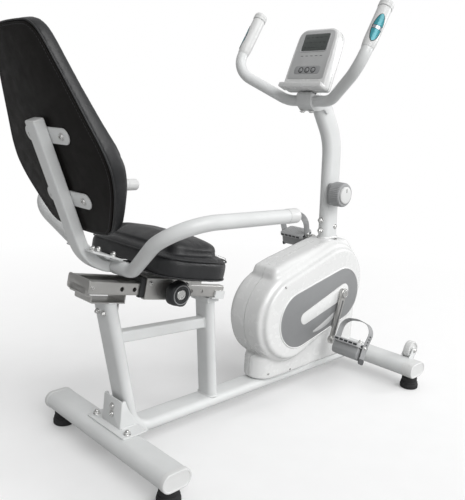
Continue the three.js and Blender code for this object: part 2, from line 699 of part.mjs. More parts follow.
// ---------- tension control ----------
const tensionBase = plateY(rounded(60, 66, 10, 3), KNOB.y0 + 0.5, -MAST.thick / 2 - GAP, 2);
piece('tension_base', tensionBase.translate(KNOB.x + 6, 0, KNOB.z - 1), 'whitePlastic');
const knobProfile = [[0, 0], [33, 0], [37, 3], [36, 32], [33, 36], [26, 36], [25, 41], [0, 42]];
piece('tension_knob', turnedY(knobProfile, KNOB.x, KNOB.y0, KNOB.z, 32, -1), 'greyPlastic');

// ---------- handlebar and console ----------
const barEnd = [0.92 * BAR.tip[0] + 0.08 * BAR.bend[0], 0.92 * BAR.tip[1] + 0.08 * BAR.bend[1]];
const barRoute = new Route([
  [barEnd[0], -BAR.y, barEnd[1]],
  [BAR.bend[0], -BAR.y, BAR.bend[1], 62],
  [BAR.centre[0], -78, BAR.centre[1], 70],
  [BAR.centre[0], 78, BAR.centre[1], 70],
  [BAR.bend[0], BAR.y, BAR.bend[1], 62],
  [barEnd[0], BAR.y, barEnd[1]],
], 5, [0, 0, 1]);
const roundTube = (radius) => withHole(ring(radius, 16), ring(radius - TUBE_WALL, 10));
piece('handlebar', sweep(roundTube(BAR.radius), barRoute), 'paint');

// Hand grips: sleeves over the bar's raised ends, closed at the tip.
const gripFrom = new THREE.Vector3(BAR.bend[0], BAR.y, BAR.bend[1])
  .lerp(new THREE.Vector3(BAR.tip[0], BAR.y, BAR.tip[1]), 0.36);
const gripAim = new THREE.Vector3(BAR.tip[0], BAR.y, BAR.tip[1]).sub(gripFrom);
const gripLength = gripAim.length();
const gripBore = BAR.radius + GAP;
const gripProfile = [
  [gripBore, 0], [18, 0], [19.3, 3], [19.3, gripLength - 14],
  [17.5, gripLength - 9], [17.5, gripLength - 2], [14, gripLength], [0, gripLength],
  [0, gripLength - 14], [gripBore, gripLength - 14], [gripBore, 0],
];
const gripTurn = new THREE.Quaternion()
  .setFromUnitVectors(new THREE.Vector3(0, 1, 0), gripAim.clone().normalize());
const grip = new THREE.LatheGeometry(gripProfile.map(([r, a]) => new THREE.Vector2(r, a)), 24)
  .applyQuaternion(gripTurn).translate(gripFrom.x, gripFrom.y, gripFrom.z);
piece('grip_left', grip, 'whitePlastic');
piece('grip_right', mirrored(grip), 'whitePlastic');

// Bracket from the mast's top to the bar and the console.
const headOutline = [
  [722, 846], [700, 872], [668, 901], [640, 904], [628, 892],
  [630, 862], [648, 846], [672, 846], [694, 852], [712, 838],
];
const head = cut(
  plateY(headOutline, -26, 26, 2),
  barY(BAR.centre[0], BAR.centre[1], BAR.radius + GAP, -60, 60, 28),
  sweep(oval(MAST.thick + 0.8, MAST.width + 0.8), new Route([[774, 0, 766], [705, 0, 874.6]])),
  onConsole(box(-30, CONSOLE.depth + 0.5, -90, 90, -0.5, 220)),
);
piece('handlebar_bracket', head, 'paint');

const shellHalf = [[70, 0], [76, 4], [73, 120], [70, 160], [60, 174]];
const shellOutline = [...shellHalf, ...shellHalf.slice().reverse().map(([y, v]) => [-y, v])];
const shellBody = alongX(shellOutline, 0, CONSOLE.depth, 5, 2);
const ledge = box(-14, 16, -76, 76, 2, 12);
const buttonAt = [-22, 0, 22];
const buttonHeight = 56;
function barX(x, y, z, radius, length) {
  return new THREE.CylinderGeometry(radius, radius, length, 20).rotateZ(Math.PI / 2).translate(x, y, z);
}
const wells = buttonAt.map((y) => barX(0, y, buttonHeight, 6.4, 16));
piece('console_shell', onConsole(cut(join(shellBody, ledge), ...wells)), 'shell');
buttonAt.forEach((y, i) => {
  piece(`console_button_${i + 1}`, onConsole(barX(2, y, buttonHeight, 6, 8)), 'greyPlastic');
});

// ---------- sliding seat ----------
const carriageSection = [
  [-52.5, 407.5], [-40, 407.5], [-40, 411], [-49, 411], [-49, 458], [49, 458],
  [49, 411], [40, 411], [40, 407.5], [52.5, 407.5], [52.5, 461.5], [-52.5, 461.5],
];
const linerSection = [
  [-48.7, 411.3], [-38, 411.3], [-38, 414.6], [-45.3, 414.6], [-45.3, 445.3], [45.3, 445.3],
  [45.3, 414.6], [38, 414.6], [38, 411.3], [48.7, 411.3], [48.7, 457.7], [-48.7, 457.7],
];
const pinHole = barY(PIN.s, PIN.h, PIN.radius + GAP, -60, -44, 16);
const carriageBar = alongX(carriageSection, CARRIAGE.from, CARRIAGE.to);
piece('seat_carriage', onRail(cut(carriageBar, pinHole)), 'steel');
const linerBar = alongX(linerSection, CARRIAGE.from - 13, CARRIAGE.to - 2);
piece('carriage_liner', onRail(cut(linerBar, pinHole)), 'blackPlastic');

const pinBar = barY(PIN.s, PIN.h, PIN.radius, -61.7, -45.6, 16);
piece('lock_pin', onRail(pinBar), 'steel');
function lobed(radius, depth, lobes, sides) {
  const points = [];
  for (let i = 0; i < sides; i++) {
    const a = (2 * Math.PI * i) / sides;
    const r = radius - depth * (0.5 - 0.5 * Math.cos(lobes * a));
    points.push([r * Math.cos(a), r * Math.sin(a)]);
  }
  return points;
}
const knobBody = plateY(lobed(32, 3.5, 5, 30), -92, -62, 3, 1);
piece('lock_knob', onRail(knobBody.translate(PIN.s, 0, PIN.h)), 'blackPlastic');

const seatRoute = new Route([
  [SEAT_TUBE.back[0], 0, SEAT_TUBE.back[1]],
  [SEAT_TUBE.corner[0], 0, SEAT_TUBE.corner[1], 95],
  [SEAT_TUBE.front[0], 0, SEAT_TUBE.front[1]],
], 8);
const seatSection = withHole(rounded(SEAT_TUBE.width, SEAT_TUBE.thick, 4, 2),
  rounded(SEAT_TUBE.width - 4, SEAT_TUBE.thick - 4, 2, 1));
piece('seat_frame_tube', sweep(seatSection, seatRoute), 'paint');

// Two strips behind the backrest, rounded at both ends.
function backBracket(z) {
  const height = (z - BACK_FOOT[1]) / Math.cos(BACK_LEAN);
  return onBack(alongX(oval(176, 34, 6), -4.3, -0.4).translate(0, 0, height));
}
piece('back_bracket_upper', backBracket(775), 'paint');
piece('back_bracket_lower', backBracket(645), 'paint');

// Backrest outline, half widths at heights up its own plane.
const backHalf = [
  [92, 0], [120, 15], [138, 38], [162, 76], [180, 108], [191, 144], [191, 166], [184, 200],
  [165, 245], [147, 291], [132, 329], [115, 368], [105, 394], [92, 418], [74, 433], [50, 440],
];
const backOutline = [...backHalf, ...backHalf.slice().reverse().map(([y, v]) => [-y, v])];
piece('backrest_pad', onBack(alongX(backOutline, 0, BACK_THICK, 13, 3)), 'vinyl');

// Seat pad: side band with a crowned top, relieved underneath for the seat tube.
function padOutline(inset) {
  const { from, to, half } = SEAT_PAD;
  const ends = [[from, 64], [to, 84]];
  const points = [];
  for (const [x, r] of ends) {
    const sign = x === from ? -1 : 1;
    for (let i = 0; i <= 6; i++) {
      const a = sign > 0 ? -Math.PI / 2 + (Math.PI / 2) * (i / 6) : Math.PI / 2 + (Math.PI / 2) * (i / 6);
      const cx = x - sign * r;
      const cy = sign > 0 ? -half + r : half - r;
      points.push([cx + (r - inset) * Math.cos(a), cy + (r - inset) * Math.sin(a)]);
    }
    for (let i = 0; i <= 6; i++) {
      const a = sign > 0 ? (Math.PI / 2) * (i / 6) : Math.PI + (Math.PI / 2) * (i / 6);
      const cx = x - sign * r;
      const cy = sign > 0 ? half - r : -half + r;
      points.push([cx + (r - inset) * Math.cos(a), cy + (r - inset) * Math.sin(a)]);
    }
  }
  return points;
}
function padTier(inset, low, high, bevel, size) {
  const g = new THREE.ExtrudeGeometry(shapeOf(padOutline(inset)), {
    depth: high - low - 2 * bevel,
    bevelEnabled: true,
    bevelThickness: bevel,
    bevelSize: size,
    bevelOffset: -size,
    bevelSegments: 3,
  });
  return g.translate(0, 0, low + bevel);
}
const padLow = SEAT_PAD.low;
const seatPad = cut(
  join(
    padTier(0, padLow, padLow + SEAT_PAD.side, 8, 8),
    padTier(30, padLow + 4, padLow + SEAT_PAD.side + SEAT_PAD.crown, 18, 26),
  ),
  box(SEAT_PAD.from - 10, SEAT_PAD.to - 14, -64, 64, padLow - 5, SEAT_PAD.recess),
);
piece('seat_pad', onRail(seatPad), 'vinyl');

// Side handles: straight run beside the seat, bent down and in to the seat tube.
const handleRoute = new Route([
  [HANDLE.tip[0], HANDLE.y, HANDLE.tip[1]],
  [-76, HANDLE.y, 628.5, 88],
  [5.6, 82.8, 480.1, 60],
  [5, HANDLE.inner, 478],
], 5);
const handleBar = sweep(roundTube(HANDLE.radius), handleRoute);
const handleCap = new THREE.CylinderGeometry(HANDLE.radius, HANDLE.radius, 3, 16).rotateZ(Math.PI / 2);
const handleTrim = box(-200, 300, -40, HANDLE.inner, 300, 700);
handleCap.translate(HANDLE.tip[0] + 1, HANDLE.y, HANDLE.tip[1]);
const handle = cut(join(handleBar, handleCap), handleTrim);
piece('side_handle_left', handle, 'paint');
piece('side_handle_right', mirrored(handle), 'paint');

// Folded plate over the handles' inner ends, notched around the seat tube's bend.
const tilt = THREE.MathUtils.degToRad(20);
const wing = box(-46, 46, -58, 58, -2, 2).rotateY(tilt).translate(-38, 0, 518);
const tubeNotch = box(-120, -40, -HANDLE.inner, HANDLE.inner, 400, 700);
const padClear = onRail(box(-108, 200, -400, 400, 440, 640));
const handlePlate = cut(wing, tubeNotch, padClear);
piece('handle_plate', handlePlate, 'paint');

export default bike;
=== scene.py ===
import math

import bmesh
import bpy
from mathutils import Matrix, Vector


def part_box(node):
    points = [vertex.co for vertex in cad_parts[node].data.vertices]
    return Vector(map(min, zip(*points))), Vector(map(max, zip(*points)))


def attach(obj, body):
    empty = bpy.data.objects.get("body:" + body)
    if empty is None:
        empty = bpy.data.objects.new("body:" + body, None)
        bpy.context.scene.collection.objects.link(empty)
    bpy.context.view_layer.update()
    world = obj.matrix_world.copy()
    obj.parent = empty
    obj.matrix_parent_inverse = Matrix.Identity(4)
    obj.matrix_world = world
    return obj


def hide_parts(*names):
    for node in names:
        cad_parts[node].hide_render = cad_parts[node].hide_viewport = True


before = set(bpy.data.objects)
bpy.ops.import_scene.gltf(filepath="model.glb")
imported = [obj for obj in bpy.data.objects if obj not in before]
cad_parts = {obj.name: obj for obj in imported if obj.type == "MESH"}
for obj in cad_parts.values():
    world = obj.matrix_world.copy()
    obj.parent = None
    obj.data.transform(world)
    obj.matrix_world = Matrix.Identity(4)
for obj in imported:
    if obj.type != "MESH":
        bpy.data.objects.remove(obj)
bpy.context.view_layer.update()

# Recumbent exercise bike. Lengths below are millimetres measured from the rear stabiliser's
# axis, like the CAD part's; at() turns them into the row frame in metres.
MM = 0.001


def middle(node):
    low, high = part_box(node)
    return (low + high) / 2


REAR_AXIS = middle("rear_stabilizer_tube").x


def at(x, y, z):
    return Vector((REAR_AXIS + x * MM, y * MM, z * MM))


def in_bike(point):
    """Row-frame metres back to millimetres from the rear stabiliser's axis."""
    return (point - at(0, 0, 0)) / MM


def own(node):
    """Centre of a CAD node, in millimetres from the rear stabiliser's axis."""
    return in_bike(middle(node))


# ---------- driving dimensions, as in the part ----------
RAIL_SLOPE = math.radians(10.6)
BACK_LEAN = math.radians(20)
CONSOLE_LEAN = math.radians(21.4)
BACK_FOOT = (-74.2, 570)
CONSOLE_FOOT = (617, 905)
STAB_HALF = 260
STAB_Z = own("rear_stabilizer_tube").z
STAB_HEIGHT = 44
FRONT_X = own("front_stabilizer_cap_right").x
CRANK = own("crank_axle")
PEDAL_REACH = 145
CRANK_ANGLE = math.radians(17.5)
ARM_IN, ARM_OUT = 80.6, 92  # |y| of the crank arm's faces
PEDAL_IN, PEDAL_OUT = 108, 204  # |y| of the pedal's ends
PEDAL_LENGTH = 62
PEDAL_TILT = {"right": math.radians(28), "left": math.radians(-16)}
KNOB = own("tension_knob")
PIN_S, PIN_H, PIN_PITCH = 56.5, 429, 34  # along the rail, above it, between its holes
SENSOR_FROM_TIP, SENSOR_LONG, SENSOR_WIDE, SENSOR_FACING = 86, 78, 26, math.radians(132)
RAIL_REAR = -163
SCREEN_V = 138  # middle of the console's screen, up its face
BUTTON_V, BUTTON_Y, BUTTON_HOLE = 56, (-22, 0, 22), 6.6
TRAY_REAR, TRAY_FRONT, TRAY_LOW, TRAY_HIGH, TRAY_SHEET, TRAY_HALF = -150, -58, 392.8, 414.6, 3, 34
BAR_BEND, BAR_TIP, BAR_CENTRE, BAR_Y = (572, 955), (672, 1122), (652, 874), 222
COVER_REAR, COVER_FRONT = (570, 262, 134), (767, 332, 126)  # circles: x, z, radius
COVER_FACE = 75
INSERT_REAR, INSERT_FRONT = (590, 255, 82), (780, 300, 80)
SLOT_REAR, SLOT_FRONT = (612, 255, 19), (789, 309, 24)
PAD_LOW, PAD_SIDE, PAD_CROWN = 478, 52, 36
FLOOR_REACH = 30.0
SOFT_LIGHT_FROM = (0.62, -0.33, 0.71)
MAST_WIDTH, MAST_THICK = 67, 36
HANDLE_Y, HANDLE_RADIUS = 304, 15.5


def turned_by(angle, foot):
    c, s = math.cos(angle), math.sin(angle)
    return lambda a, y, v: at(a * c + v * s + foot[0], y, -a * s + v * c + foot[1])


on_rail = turned_by(RAIL_SLOPE, (0, 0))
on_back = turned_by(-BACK_LEAN, BACK_FOOT)
on_console = turned_by(CONSOLE_LEAN, CONSOLE_FOOT)


def along(origin, axis, up=(0, 0, 1)):
    """Places local (a, b, c), c running from origin along axis. origin in metres, a to c in millimetres."""
    z = Vector(axis).normalized()
    x = Vector(up).cross(z)
    if x.length < 1e-3:
        x = Vector((1, 0, 0)).cross(z)
    x.normalize()
    y = z.cross(x)
    return lambda a, b, c: origin + (x * a + y * b + z * c) * MM


# ---------- materials ----------
def node(tree, kind, **values):
    n = tree.nodes.new(kind)
    for key, value in values.items():
        if key in n.inputs:
            n.inputs[key].default_value = value
        else:
            setattr(n, key, value)
    return n


def noise(tree, source, scale, detail=3.0, roughness=0.55):
    n = node(tree, "ShaderNodeTexNoise", Scale=scale, Detail=detail, Roughness=roughness)
    tree.links.new(source, n.inputs["Vector"])
    return n.outputs["Fac"]


def spread(tree, source, low, high, start=0.3, end=0.7):
    n = node(tree, "ShaderNodeMapRange")
    for key, value in (("From Min", start), ("From Max", end), ("To Min", low), ("To Max", high)):
        n.inputs[key].default_value = value
    tree.links.new(source, n.inputs["Value"])
    return n.outputs["Result"]


def tint(colour, factor):
    return (*(min(1.0, c * factor) for c in colour), 1.0)


def blend_colours(tree, factor, first, second):
    n = tree.nodes.new("ShaderNodeMix")
    n.data_type = "RGBA"
    tree.links.new(factor, n.inputs["Factor"])
    inputs = [s for s in n.inputs if s.type == "RGBA"]
    for value, socket in zip((first, second), inputs):
        if isinstance(value, tuple):
            socket.default_value = value
        else:
            tree.links.new(value, socket)
    return [s for s in n.outputs if s.type == "RGBA"][0]


def bump(tree, height, distance, strength, normal=None):
    n = node(tree, "ShaderNodeBump", Strength=strength, Distance=distance * MM)
    tree.links.new(height, n.inputs["Height"])
    if normal is not None:
        tree.links.new(normal, n.inputs["Normal"])
    return n.outputs["Normal"]


def finish(name, colour, roughness, metallic=0.0, mottle=0.04, grain=1400, depth=0.04, coat=0.0,
           edge_wear_and_highlight=None, pebble=None, streak=None, rounding=0.5, specular=0.5, weave=None):
    """A procedural material: mottled colour, uneven gloss, grain at real scale and softened edges, which take
    another colour in patches, partly as wear and partly as a painted highlight.
    """
    material = bpy.data.materials.new(name)
    material.use_nodes = True
    tree = material.node_tree
    shader = tree.nodes["Principled BSDF"]
    place = tree.nodes.new("ShaderNodeTexCoord").outputs["Object"]
    cloudy = noise(tree, place, 11.0, 5.0)
    base = blend_colours(tree, spread(tree, cloudy, 0, 1), tint(colour, 1 - mottle), tint(colour, 1 + mottle))
    normal = tree.nodes.new("ShaderNodeNewGeometry").outputs["Normal"]
    if rounding:
        normal = node(tree, "ShaderNodeBevel", samples=4, Radius=rounding * MM).outputs["Normal"]
    # Edges, where the rounded normal leaves the flat one, take the edge colour in noisy patches: partly wear,
    # partly a painted highlight, since on most finishes that colour is lighter than the body.
    if edge_wear_and_highlight is not None:
        flat = tree.nodes.new("ShaderNodeNewGeometry").outputs["Normal"]
        match = node(tree, "ShaderNodeVectorMath", operation="DOT_PRODUCT")
        tree.links.new(flat, match.inputs[0])
        tree.links.new(normal, match.inputs[1])
        worn_and_lit_edges = spread(tree, match.outputs["Value"], 1, 0, 0.86, 0.97)
        patchy = spread(tree, noise(tree, place, 120.0), 0, 0.8, 0.45, 0.62)
        both = node(tree, "ShaderNodeMath", operation="MULTIPLY")
        tree.links.new(worn_and_lit_edges, both.inputs[0])
        tree.links.new(patchy, both.inputs[1])
        base = blend_colours(tree, both.outputs["Value"], base, (*edge_wear_and_highlight, 1.0))
    uneven = noise(tree, place, 42.0, 4.0)
    if streak is not None:
        stretch = node(tree, "ShaderNodeMapping")
        stretch.inputs["Scale"].default_value = streak
        tree.links.new(place, stretch.inputs["Vector"])
        uneven = noise(tree, stretch.outputs["Vector"], 60.0, 4.0)
        normal = bump(tree, uneven, 0.02, 0.4, normal)
    if pebble is not None:
        warp = node(tree, "ShaderNodeTexNoise", Scale=pebble * 0.6)
        tree.links.new(place, warp.inputs["Vector"])
        pull = node(tree, "ShaderNodeVectorMath", operation="MULTIPLY_ADD")
        pull.inputs[1].default_value = (0.0012, 0.0012, 0.0012)
        tree.links.new(warp.outputs["Color"], pull.inputs[0])
        tree.links.new(place, pull.inputs[2])
        cells = node(tree, "ShaderNodeTexVoronoi", feature="DISTANCE_TO_EDGE", Scale=pebble)
        tree.links.new(pull.outputs["Vector"], cells.inputs["Vector"])
        domes = spread(tree, cells.outputs["Distance"], 0, 1, 0.0, 0.22)
        normal = bump(tree, domes, 0.16, 0.55, normal)
        # Painted shade: the colour darkens towards the grooves between the pebbles, as if shade lay in them.
        base = blend_colours(tree, spread(tree, domes, 0.45, 0.0, 0, 1), base, tint(colour, 0.45))
    if weave is not None:
        for axis in ("X", "Y"):
            bands = node(tree, "ShaderNodeTexWave", Scale=weave, bands_direction=axis, Distortion=1.5)
            tree.links.new(place, bands.inputs["Vector"])
            normal = bump(tree, bands.outputs["Fac"], 0.15, 0.4, normal)
    normal = bump(tree, noise(tree, place, grain, 2.0), depth, 0.5, normal)
    tree.links.new(base, shader.inputs["Base Color"])
    tree.links.new(spread(tree, uneven, roughness - 0.06, roughness + 0.08), shader.inputs["Roughness"])
    tree.links.new(normal, shader.inputs["Normal"])
    for key, value in (("Metallic", metallic), ("Coat Weight", coat), ("Coat Roughness", 0.12),
                       ("Specular IOR Level", specular)):
        shader.inputs[key].default_value = value
    return material


FINISHES = {
    "paint": finish("powder_coat", (0.7, 0.712, 0.71), 0.36, depth=0.05, edge_wear_and_highlight=(0.5, 0.5, 0.49), coat=0.25),
    "shell": finish("gloss_abs", (0.77, 0.775, 0.77), 0.24, mottle=0.015, depth=0.012, coat=0.5,
                    rounding=0),
    "insert": finish("silver_panel", (0.3, 0.305, 0.31), 0.38, 0.35, mottle=0.05, grain=3200, depth=0.02),
    "swoosh": finish("pale_panel", (0.56, 0.565, 0.565), 0.34, 0.2, mottle=0.04, grain=3200, depth=0.02),
    "steel": finish("zinc_plate", (0.54, 0.535, 0.52), 0.34, 0.9, mottle=0.09, streak=(1, 14, 14),
                    edge_wear_and_highlight=(0.75, 0.75, 0.74)),
    "bright": finish("bright_zinc", (0.66, 0.66, 0.65), 0.24, 0.95, mottle=0.08, edge_wear_and_highlight=(0.85, 0.85, 0.84)),
    "cast_iron": finish("machined_iron", (0.2, 0.205, 0.21), 0.5, 0.8, mottle=0.12, streak=(2, 30, 2)),
    "black_plastic": finish("black_plastic", (0.026, 0.028, 0.03), 0.4, depth=0.08,
                            edge_wear_and_highlight=(0.09, 0.09, 0.09)),
    "grey_plastic": finish("grey_plastic", (0.33, 0.335, 0.34), 0.48, depth=0.08, edge_wear_and_highlight=(0.5, 0.5, 0.5)),
    "dark_plastic": finish("dark_plastic", (0.09, 0.092, 0.095), 0.5, depth=0.08, edge_wear_and_highlight=(0.2, 0.2, 0.2)),
    "pale_plastic": finish("pale_plastic", (0.5, 0.505, 0.51), 0.4, depth=0.04),
    "white_plastic": finish("white_plastic", (0.7, 0.705, 0.7), 0.36, depth=0.04, mottle=0.02, coat=0.15),
    "rubber": finish("rubber", (0.016, 0.016, 0.017), 0.72, depth=0.12, grain=800, edge_wear_and_highlight=(0.06, 0.06, 0.06)),
    "vinyl": finish("grained_vinyl", (0.0075, 0.008, 0.0095), 0.36, pebble=620, depth=0.05,
                    specular=0.62, mottle=0.1),
    "back_vinyl": finish("back_vinyl", (0.006, 0.0048, 0.0041), 0.5, pebble=620, depth=0.05,
                         specular=0.14, mottle=0.14),
    "underside": finish("dust_cloth", (0.014, 0.014, 0.015), 0.9, weave=900, mottle=0.2),
    "thread": finish("thread", (0.05, 0.05, 0.056), 0.6, mottle=0.15, grain=2400, depth=0.1),
    "screen": finish("screen_glass", (0.07, 0.08, 0.076), 0.12, mottle=0.03, depth=0.002, coat=0.8),
    "segments": finish("screen_segments", (0.03, 0.034, 0.032), 0.3, depth=0.002),
    "teal": finish("sensor_film", (0.03, 0.28, 0.33), 0.3, 0.2, mottle=0.1, depth=0.01, coat=0.4),
    "sensor_steel": finish("sensor_steel", (0.45, 0.5, 0.55), 0.22, 0.9, mottle=0.05, streak=(20, 20, 1)),
}


# ---------- outlines, in millimetres ----------
def arc(cx, cz, radius, start, end, steps):
    angles = (start + (end - start) * i / steps for i in range(steps + 1))
    return [(cx + radius * math.cos(a), cz + radius * math.sin(a)) for a in angles]


def stadium(width, thick, steps=14):
    if width < thick:
        return [(-v, u) for u, v in stadium(thick, width, steps)]
    r = thick / 2
    reach = width / 2 - r
    half = math.pi / 2
    return arc(reach, 0, r, -half, half, steps) + arc(-reach, 0, r, half, 3 * half, steps)


def rounded_box(width, thick, radius, steps=5):
    points = []
    for quarter, (sx, sy) in enumerate(((1, 1), (-1, 1), (-1, -1), (1, -1))):
        start = quarter * math.pi / 2
        cx, cy = sx * (width / 2 - radius), sy * (thick / 2 - radius)
        points += arc(cx, cy, radius, start, start + math.pi / 2, steps)
    return points


def circle(radius, steps=40):
    return arc(0, 0, radius, 0, 2 * math.pi * (steps - 1) / steps, steps - 1)


def ring_of(radius, c, steps=48):
    return [(x, y, c) for x, y in circle(radius, steps)]


def softened(corners, steps=4):
    """Polygon of (u, v, corner radius) with every corner rounded."""
    points = []
    count = len(corners)
    for i, (u, v, radius) in enumerate(corners):
        p = Vector((u, v))
        back = (Vector(corners[i - 1][:2]) - p)
        ahead = (Vector(corners[(i + 1) % count][:2]) - p)
        angle = back.angle(ahead)
        reach = min(radius / math.tan(angle / 2), 0.48 * min(back.length, ahead.length))
        start, end = p + back.normalized() * reach, p + ahead.normalized() * reach
        for k in range(steps + 1):
            t = k / steps
            points.append(tuple(start * (1 - t) ** 2 + p * (2 * t * (1 - t)) + end * t ** 2))
    return points


def band(a, b, grow=0.0, steps=40):
    """Outline around two circles (x, z, radius)."""
    heading = math.atan2(b[1] - a[1], b[0] - a[0])
    lean = math.acos((a[2] - b[2]) / math.dist(a[:2], b[:2]))
    rear = arc(a[0], a[1], a[2] + grow, heading + lean, heading + 2 * math.pi - lean, steps)
    return rear + arc(b[0], b[1], b[2] + grow, heading - lean, heading + lean, steps)


def inset(points, amount):
    """A closed outline moved inwards along its own corner bisectors."""
    count = len(points)
    area = sum(points[i - 1][0] * points[i][1] - points[i][0] * points[i - 1][1] for i in range(count))
    turn = 1 if area > 0 else -1
    moved = []
    for i in range(count):
        p = Vector(points[i])
        before = p - Vector(points[i - 1])
        after = Vector(points[(i + 1) % count]) - p
        tangent = before.normalized() + after.normalized()
        tangent.normalize()
        normal = Vector((-tangent.y, tangent.x)) * turn
        moved.append(tuple(p + normal * amount))
    return moved


# ---------- mesh building ----------
def route(corners, side=(0, 1, 0), step=math.radians(5)):
    """Stations (point, side, up) along straight runs joined by bends; corners are (x, y, z, bend radius)."""
    spots = [Vector(c[:3]) for c in corners]
    stations = [(spots[0], (spots[1] - spots[0]).normalized())]
    for i in range(1, len(spots) - 1):
        back = (spots[i - 1] - spots[i]).normalized()
        ahead = (spots[i + 1] - spots[i]).normalized()
        angle = back.angle(ahead)
        radius = corners[i][3]
        centre = spots[i] + (back + ahead).normalized() * (radius / math.sin(angle / 2))
        start = spots[i] + back * (radius / math.tan(angle / 2)) - centre
        axis = start.cross(spots[i] - centre).normalized()
        sweep_angle = math.pi - angle
        count = max(2, math.ceil(sweep_angle / step))
        for k in range(count + 1):
            turn = Matrix.Rotation(sweep_angle * k / count, 3, axis)
            stations.append((centre + turn @ start, (turn @ -back).normalized()))
    stations.append((spots[-1], (spots[-1] - spots[-2]).normalized()))
    carried = Vector(side)
    frames = []
    for point, tangent in stations:
        carried = (carried - tangent * carried.dot(tangent)).normalized()
        frames.append((point, carried, tangent.cross(carried)))
    return frames


class Build:
    """Closed surfaces gathered into one mesh."""

    def __init__(self):
        self.verts = []
        self.faces = []

    def loft(self, rings, place, loop=False):
        base = len(self.verts)
        n = len(rings[0])
        for ring in rings:
            self.verts += [place(*p) for p in ring]
        for i in range(len(rings) if loop else len(rings) - 1):
            a = base + i * n
            b = base + (i + 1) % len(rings) * n
            self.faces += [(a + k, a + (k + 1) % n, b + (k + 1) % n, b + k) for k in range(n)]
        if not loop:
            self.faces.append(tuple(reversed(range(base, base + n))))
            self.faces.append(tuple(range(base + (len(rings) - 1) * n, base + len(rings) * n)))
        return self

    def plate(self, outline, low, high, place, edge=0.0):
        """An outline (u, v) given thickness from low to high along c, with softened rims."""
        layers = [(0, low), (0, high)]
        if edge:
            layers = [(edge, low), (edge * 0.3, low + edge * 0.3), (0, low + edge),
                      (0, high - edge), (edge * 0.3, high - edge * 0.3), (edge, high)]
        rings = []
        for amount, c in layers:
            rings.append([(u, v, c) for u, v in (inset(outline, amount) if amount else outline)])
        return self.loft(rings, place)

    def sweep(self, section, frames, taper=()):
        rings = []
        for i, (point, side, up) in enumerate(frames):
            k = taper[i] if taper else 1.0
            rings.append([tuple(point + side * (u * k) + up * (v * k)) for u, v in section])
        return self.loft(rings, at)

    def turned(self, profile, place, sides=48, ribs=24):
        """A turned body: profile of (radius, along, rib depth) about the local c axis."""
        rings = []
        for entry in profile:
            radius, c = entry[:2]
            depth = entry[2] if len(entry) > 2 else 0
            ring = []
            for i in range(sides):
                a = 2 * math.pi * i / sides
                r = radius - depth * (0.5 - 0.5 * math.cos(ribs * a))
                ring.append((r * math.cos(a), r * math.sin(a), c))
            rings.append(ring)
        return self.loft(rings, place)

    def ringed(self, profile, place, steps=48):
        """A turned body with a bore: its profile of (radius, along) closes on itself."""
        return self.loft([ring_of(r, c, steps) for r, c in profile], place, loop=True)

    def rope(self, path, radius, normal, steps=8, ripple=0.0):
        """A closed bead along a flat loop of points (x, y, z); normal is the loop's own."""
        n = Vector(normal).normalized()
        count = len(path)
        rings = []
        for i in range(count):
            p = Vector(path[i])
            tangent = (Vector(path[(i + 1) % count]) - Vector(path[i - 1])).normalized()
            out = tangent.cross(n)
            r = radius * (1 + ripple * math.sin(i * 2.1))
            rings.append([tuple(p + (out * math.cos(a) + n * math.sin(a)) * r)
                          for a in (2 * math.pi * k / steps for k in range(steps))])
        return self.loft(rings, at, loop=True)

    def mesh(self, name):
        mesh = bpy.data.meshes.new(name)
        mesh.from_pydata(self.verts, [], self.faces)
        tidy_mesh(mesh)
        return mesh

    def piece(self, name, look, body, *replaced, sharp=32, bevel=0.0):
        return dress(self.mesh(name), name, look, body, *replaced, sharp=sharp, bevel=bevel)


def tidy_mesh(mesh):
    bm = bmesh.new()
    bm.from_mesh(mesh)
    bmesh.ops.remove_doubles(bm, verts=bm.verts, dist=2e-6)
    bmesh.ops.recalc_face_normals(bm, faces=bm.faces)
    bm.to_mesh(mesh)
    bm.free()


def dress(mesh, name, look, body, *replaced, sharp=32, bevel=0.0):
    """Links a mesh as a finished piece: shading, rounded edges, material and body."""
    obj = bpy.data.objects.new(name, mesh)
    bpy.context.scene.collection.objects.link(obj)
    mesh.polygons.foreach_set("use_smooth", [True] * len(mesh.polygons))
    mesh.set_sharp_from_angle(angle=math.radians(sharp))
    if not mesh.materials:
        mesh.materials.append(FINISHES[look])
    if bevel:
        soften = obj.modifiers.new("rounded", "BEVEL")
        soften.width = bevel * MM
        soften.segments = 2
        soften.limit_method = "ANGLE"
        soften.angle_limit = math.radians(38)
        soften.harden_normals = True
    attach(obj, body)
    if replaced:
        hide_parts(*replaced)
    return obj


def apply_modifiers(obj):
    shown = obj.evaluated_get(bpy.context.evaluated_depsgraph_get())
    mesh = bpy.data.meshes.new_from_object(shown)
    obj.modifiers.clear()
    obj.data = mesh
    return obj


def scratch(mesh):
    obj = bpy.data.objects.new("scratch", mesh)
    bpy.context.scene.collection.objects.link(obj)
    return obj


def carve(obj, cutter_mesh):
    """Cuts a closed mesh out of obj for good."""
    cutter = scratch(cutter_mesh)
    tool = obj.modifiers.new("cut", "BOOLEAN")
    tool.operation = "DIFFERENCE"
    tool.solver = "EXACT"
    tool.object = cutter
    apply_modifiers(obj)
    bpy.data.objects.remove(cutter)
    return obj


def taken(obj):
    """The mesh of a scratch object, which goes away."""
    mesh = obj.data
    bpy.data.objects.remove(obj)
    return mesh


def carved(mesh, *cutters):
    """A mesh with every cutter taken out of it."""
    body = scratch(mesh)
    for cutter in cutters:
        carve(body, cutter.mesh("cutter"))
    return taken(body)


def keep(nodes, look):
    """CAD nodes whose shape is right keep it and take a better finish."""
    for name in nodes:
        mesh_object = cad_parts[name]
        for material_slot in mesh_object.material_slots:
            material_slot.material = FINISHES[look]
        if not mesh_object.material_slots:
            mesh_object.data.materials.append(FINISHES[look])


# ---------- fasteners ----------
def hex_ring(across, c, steps=48):
    ring = []
    for i in range(steps):
        a = 2 * math.pi * i / steps
        lean = (a % (math.pi / 3)) - math.pi / 6
        r = across / 2 / math.cos(lean)
        ring.append((r * math.cos(a), r * math.sin(a), c))
    return ring


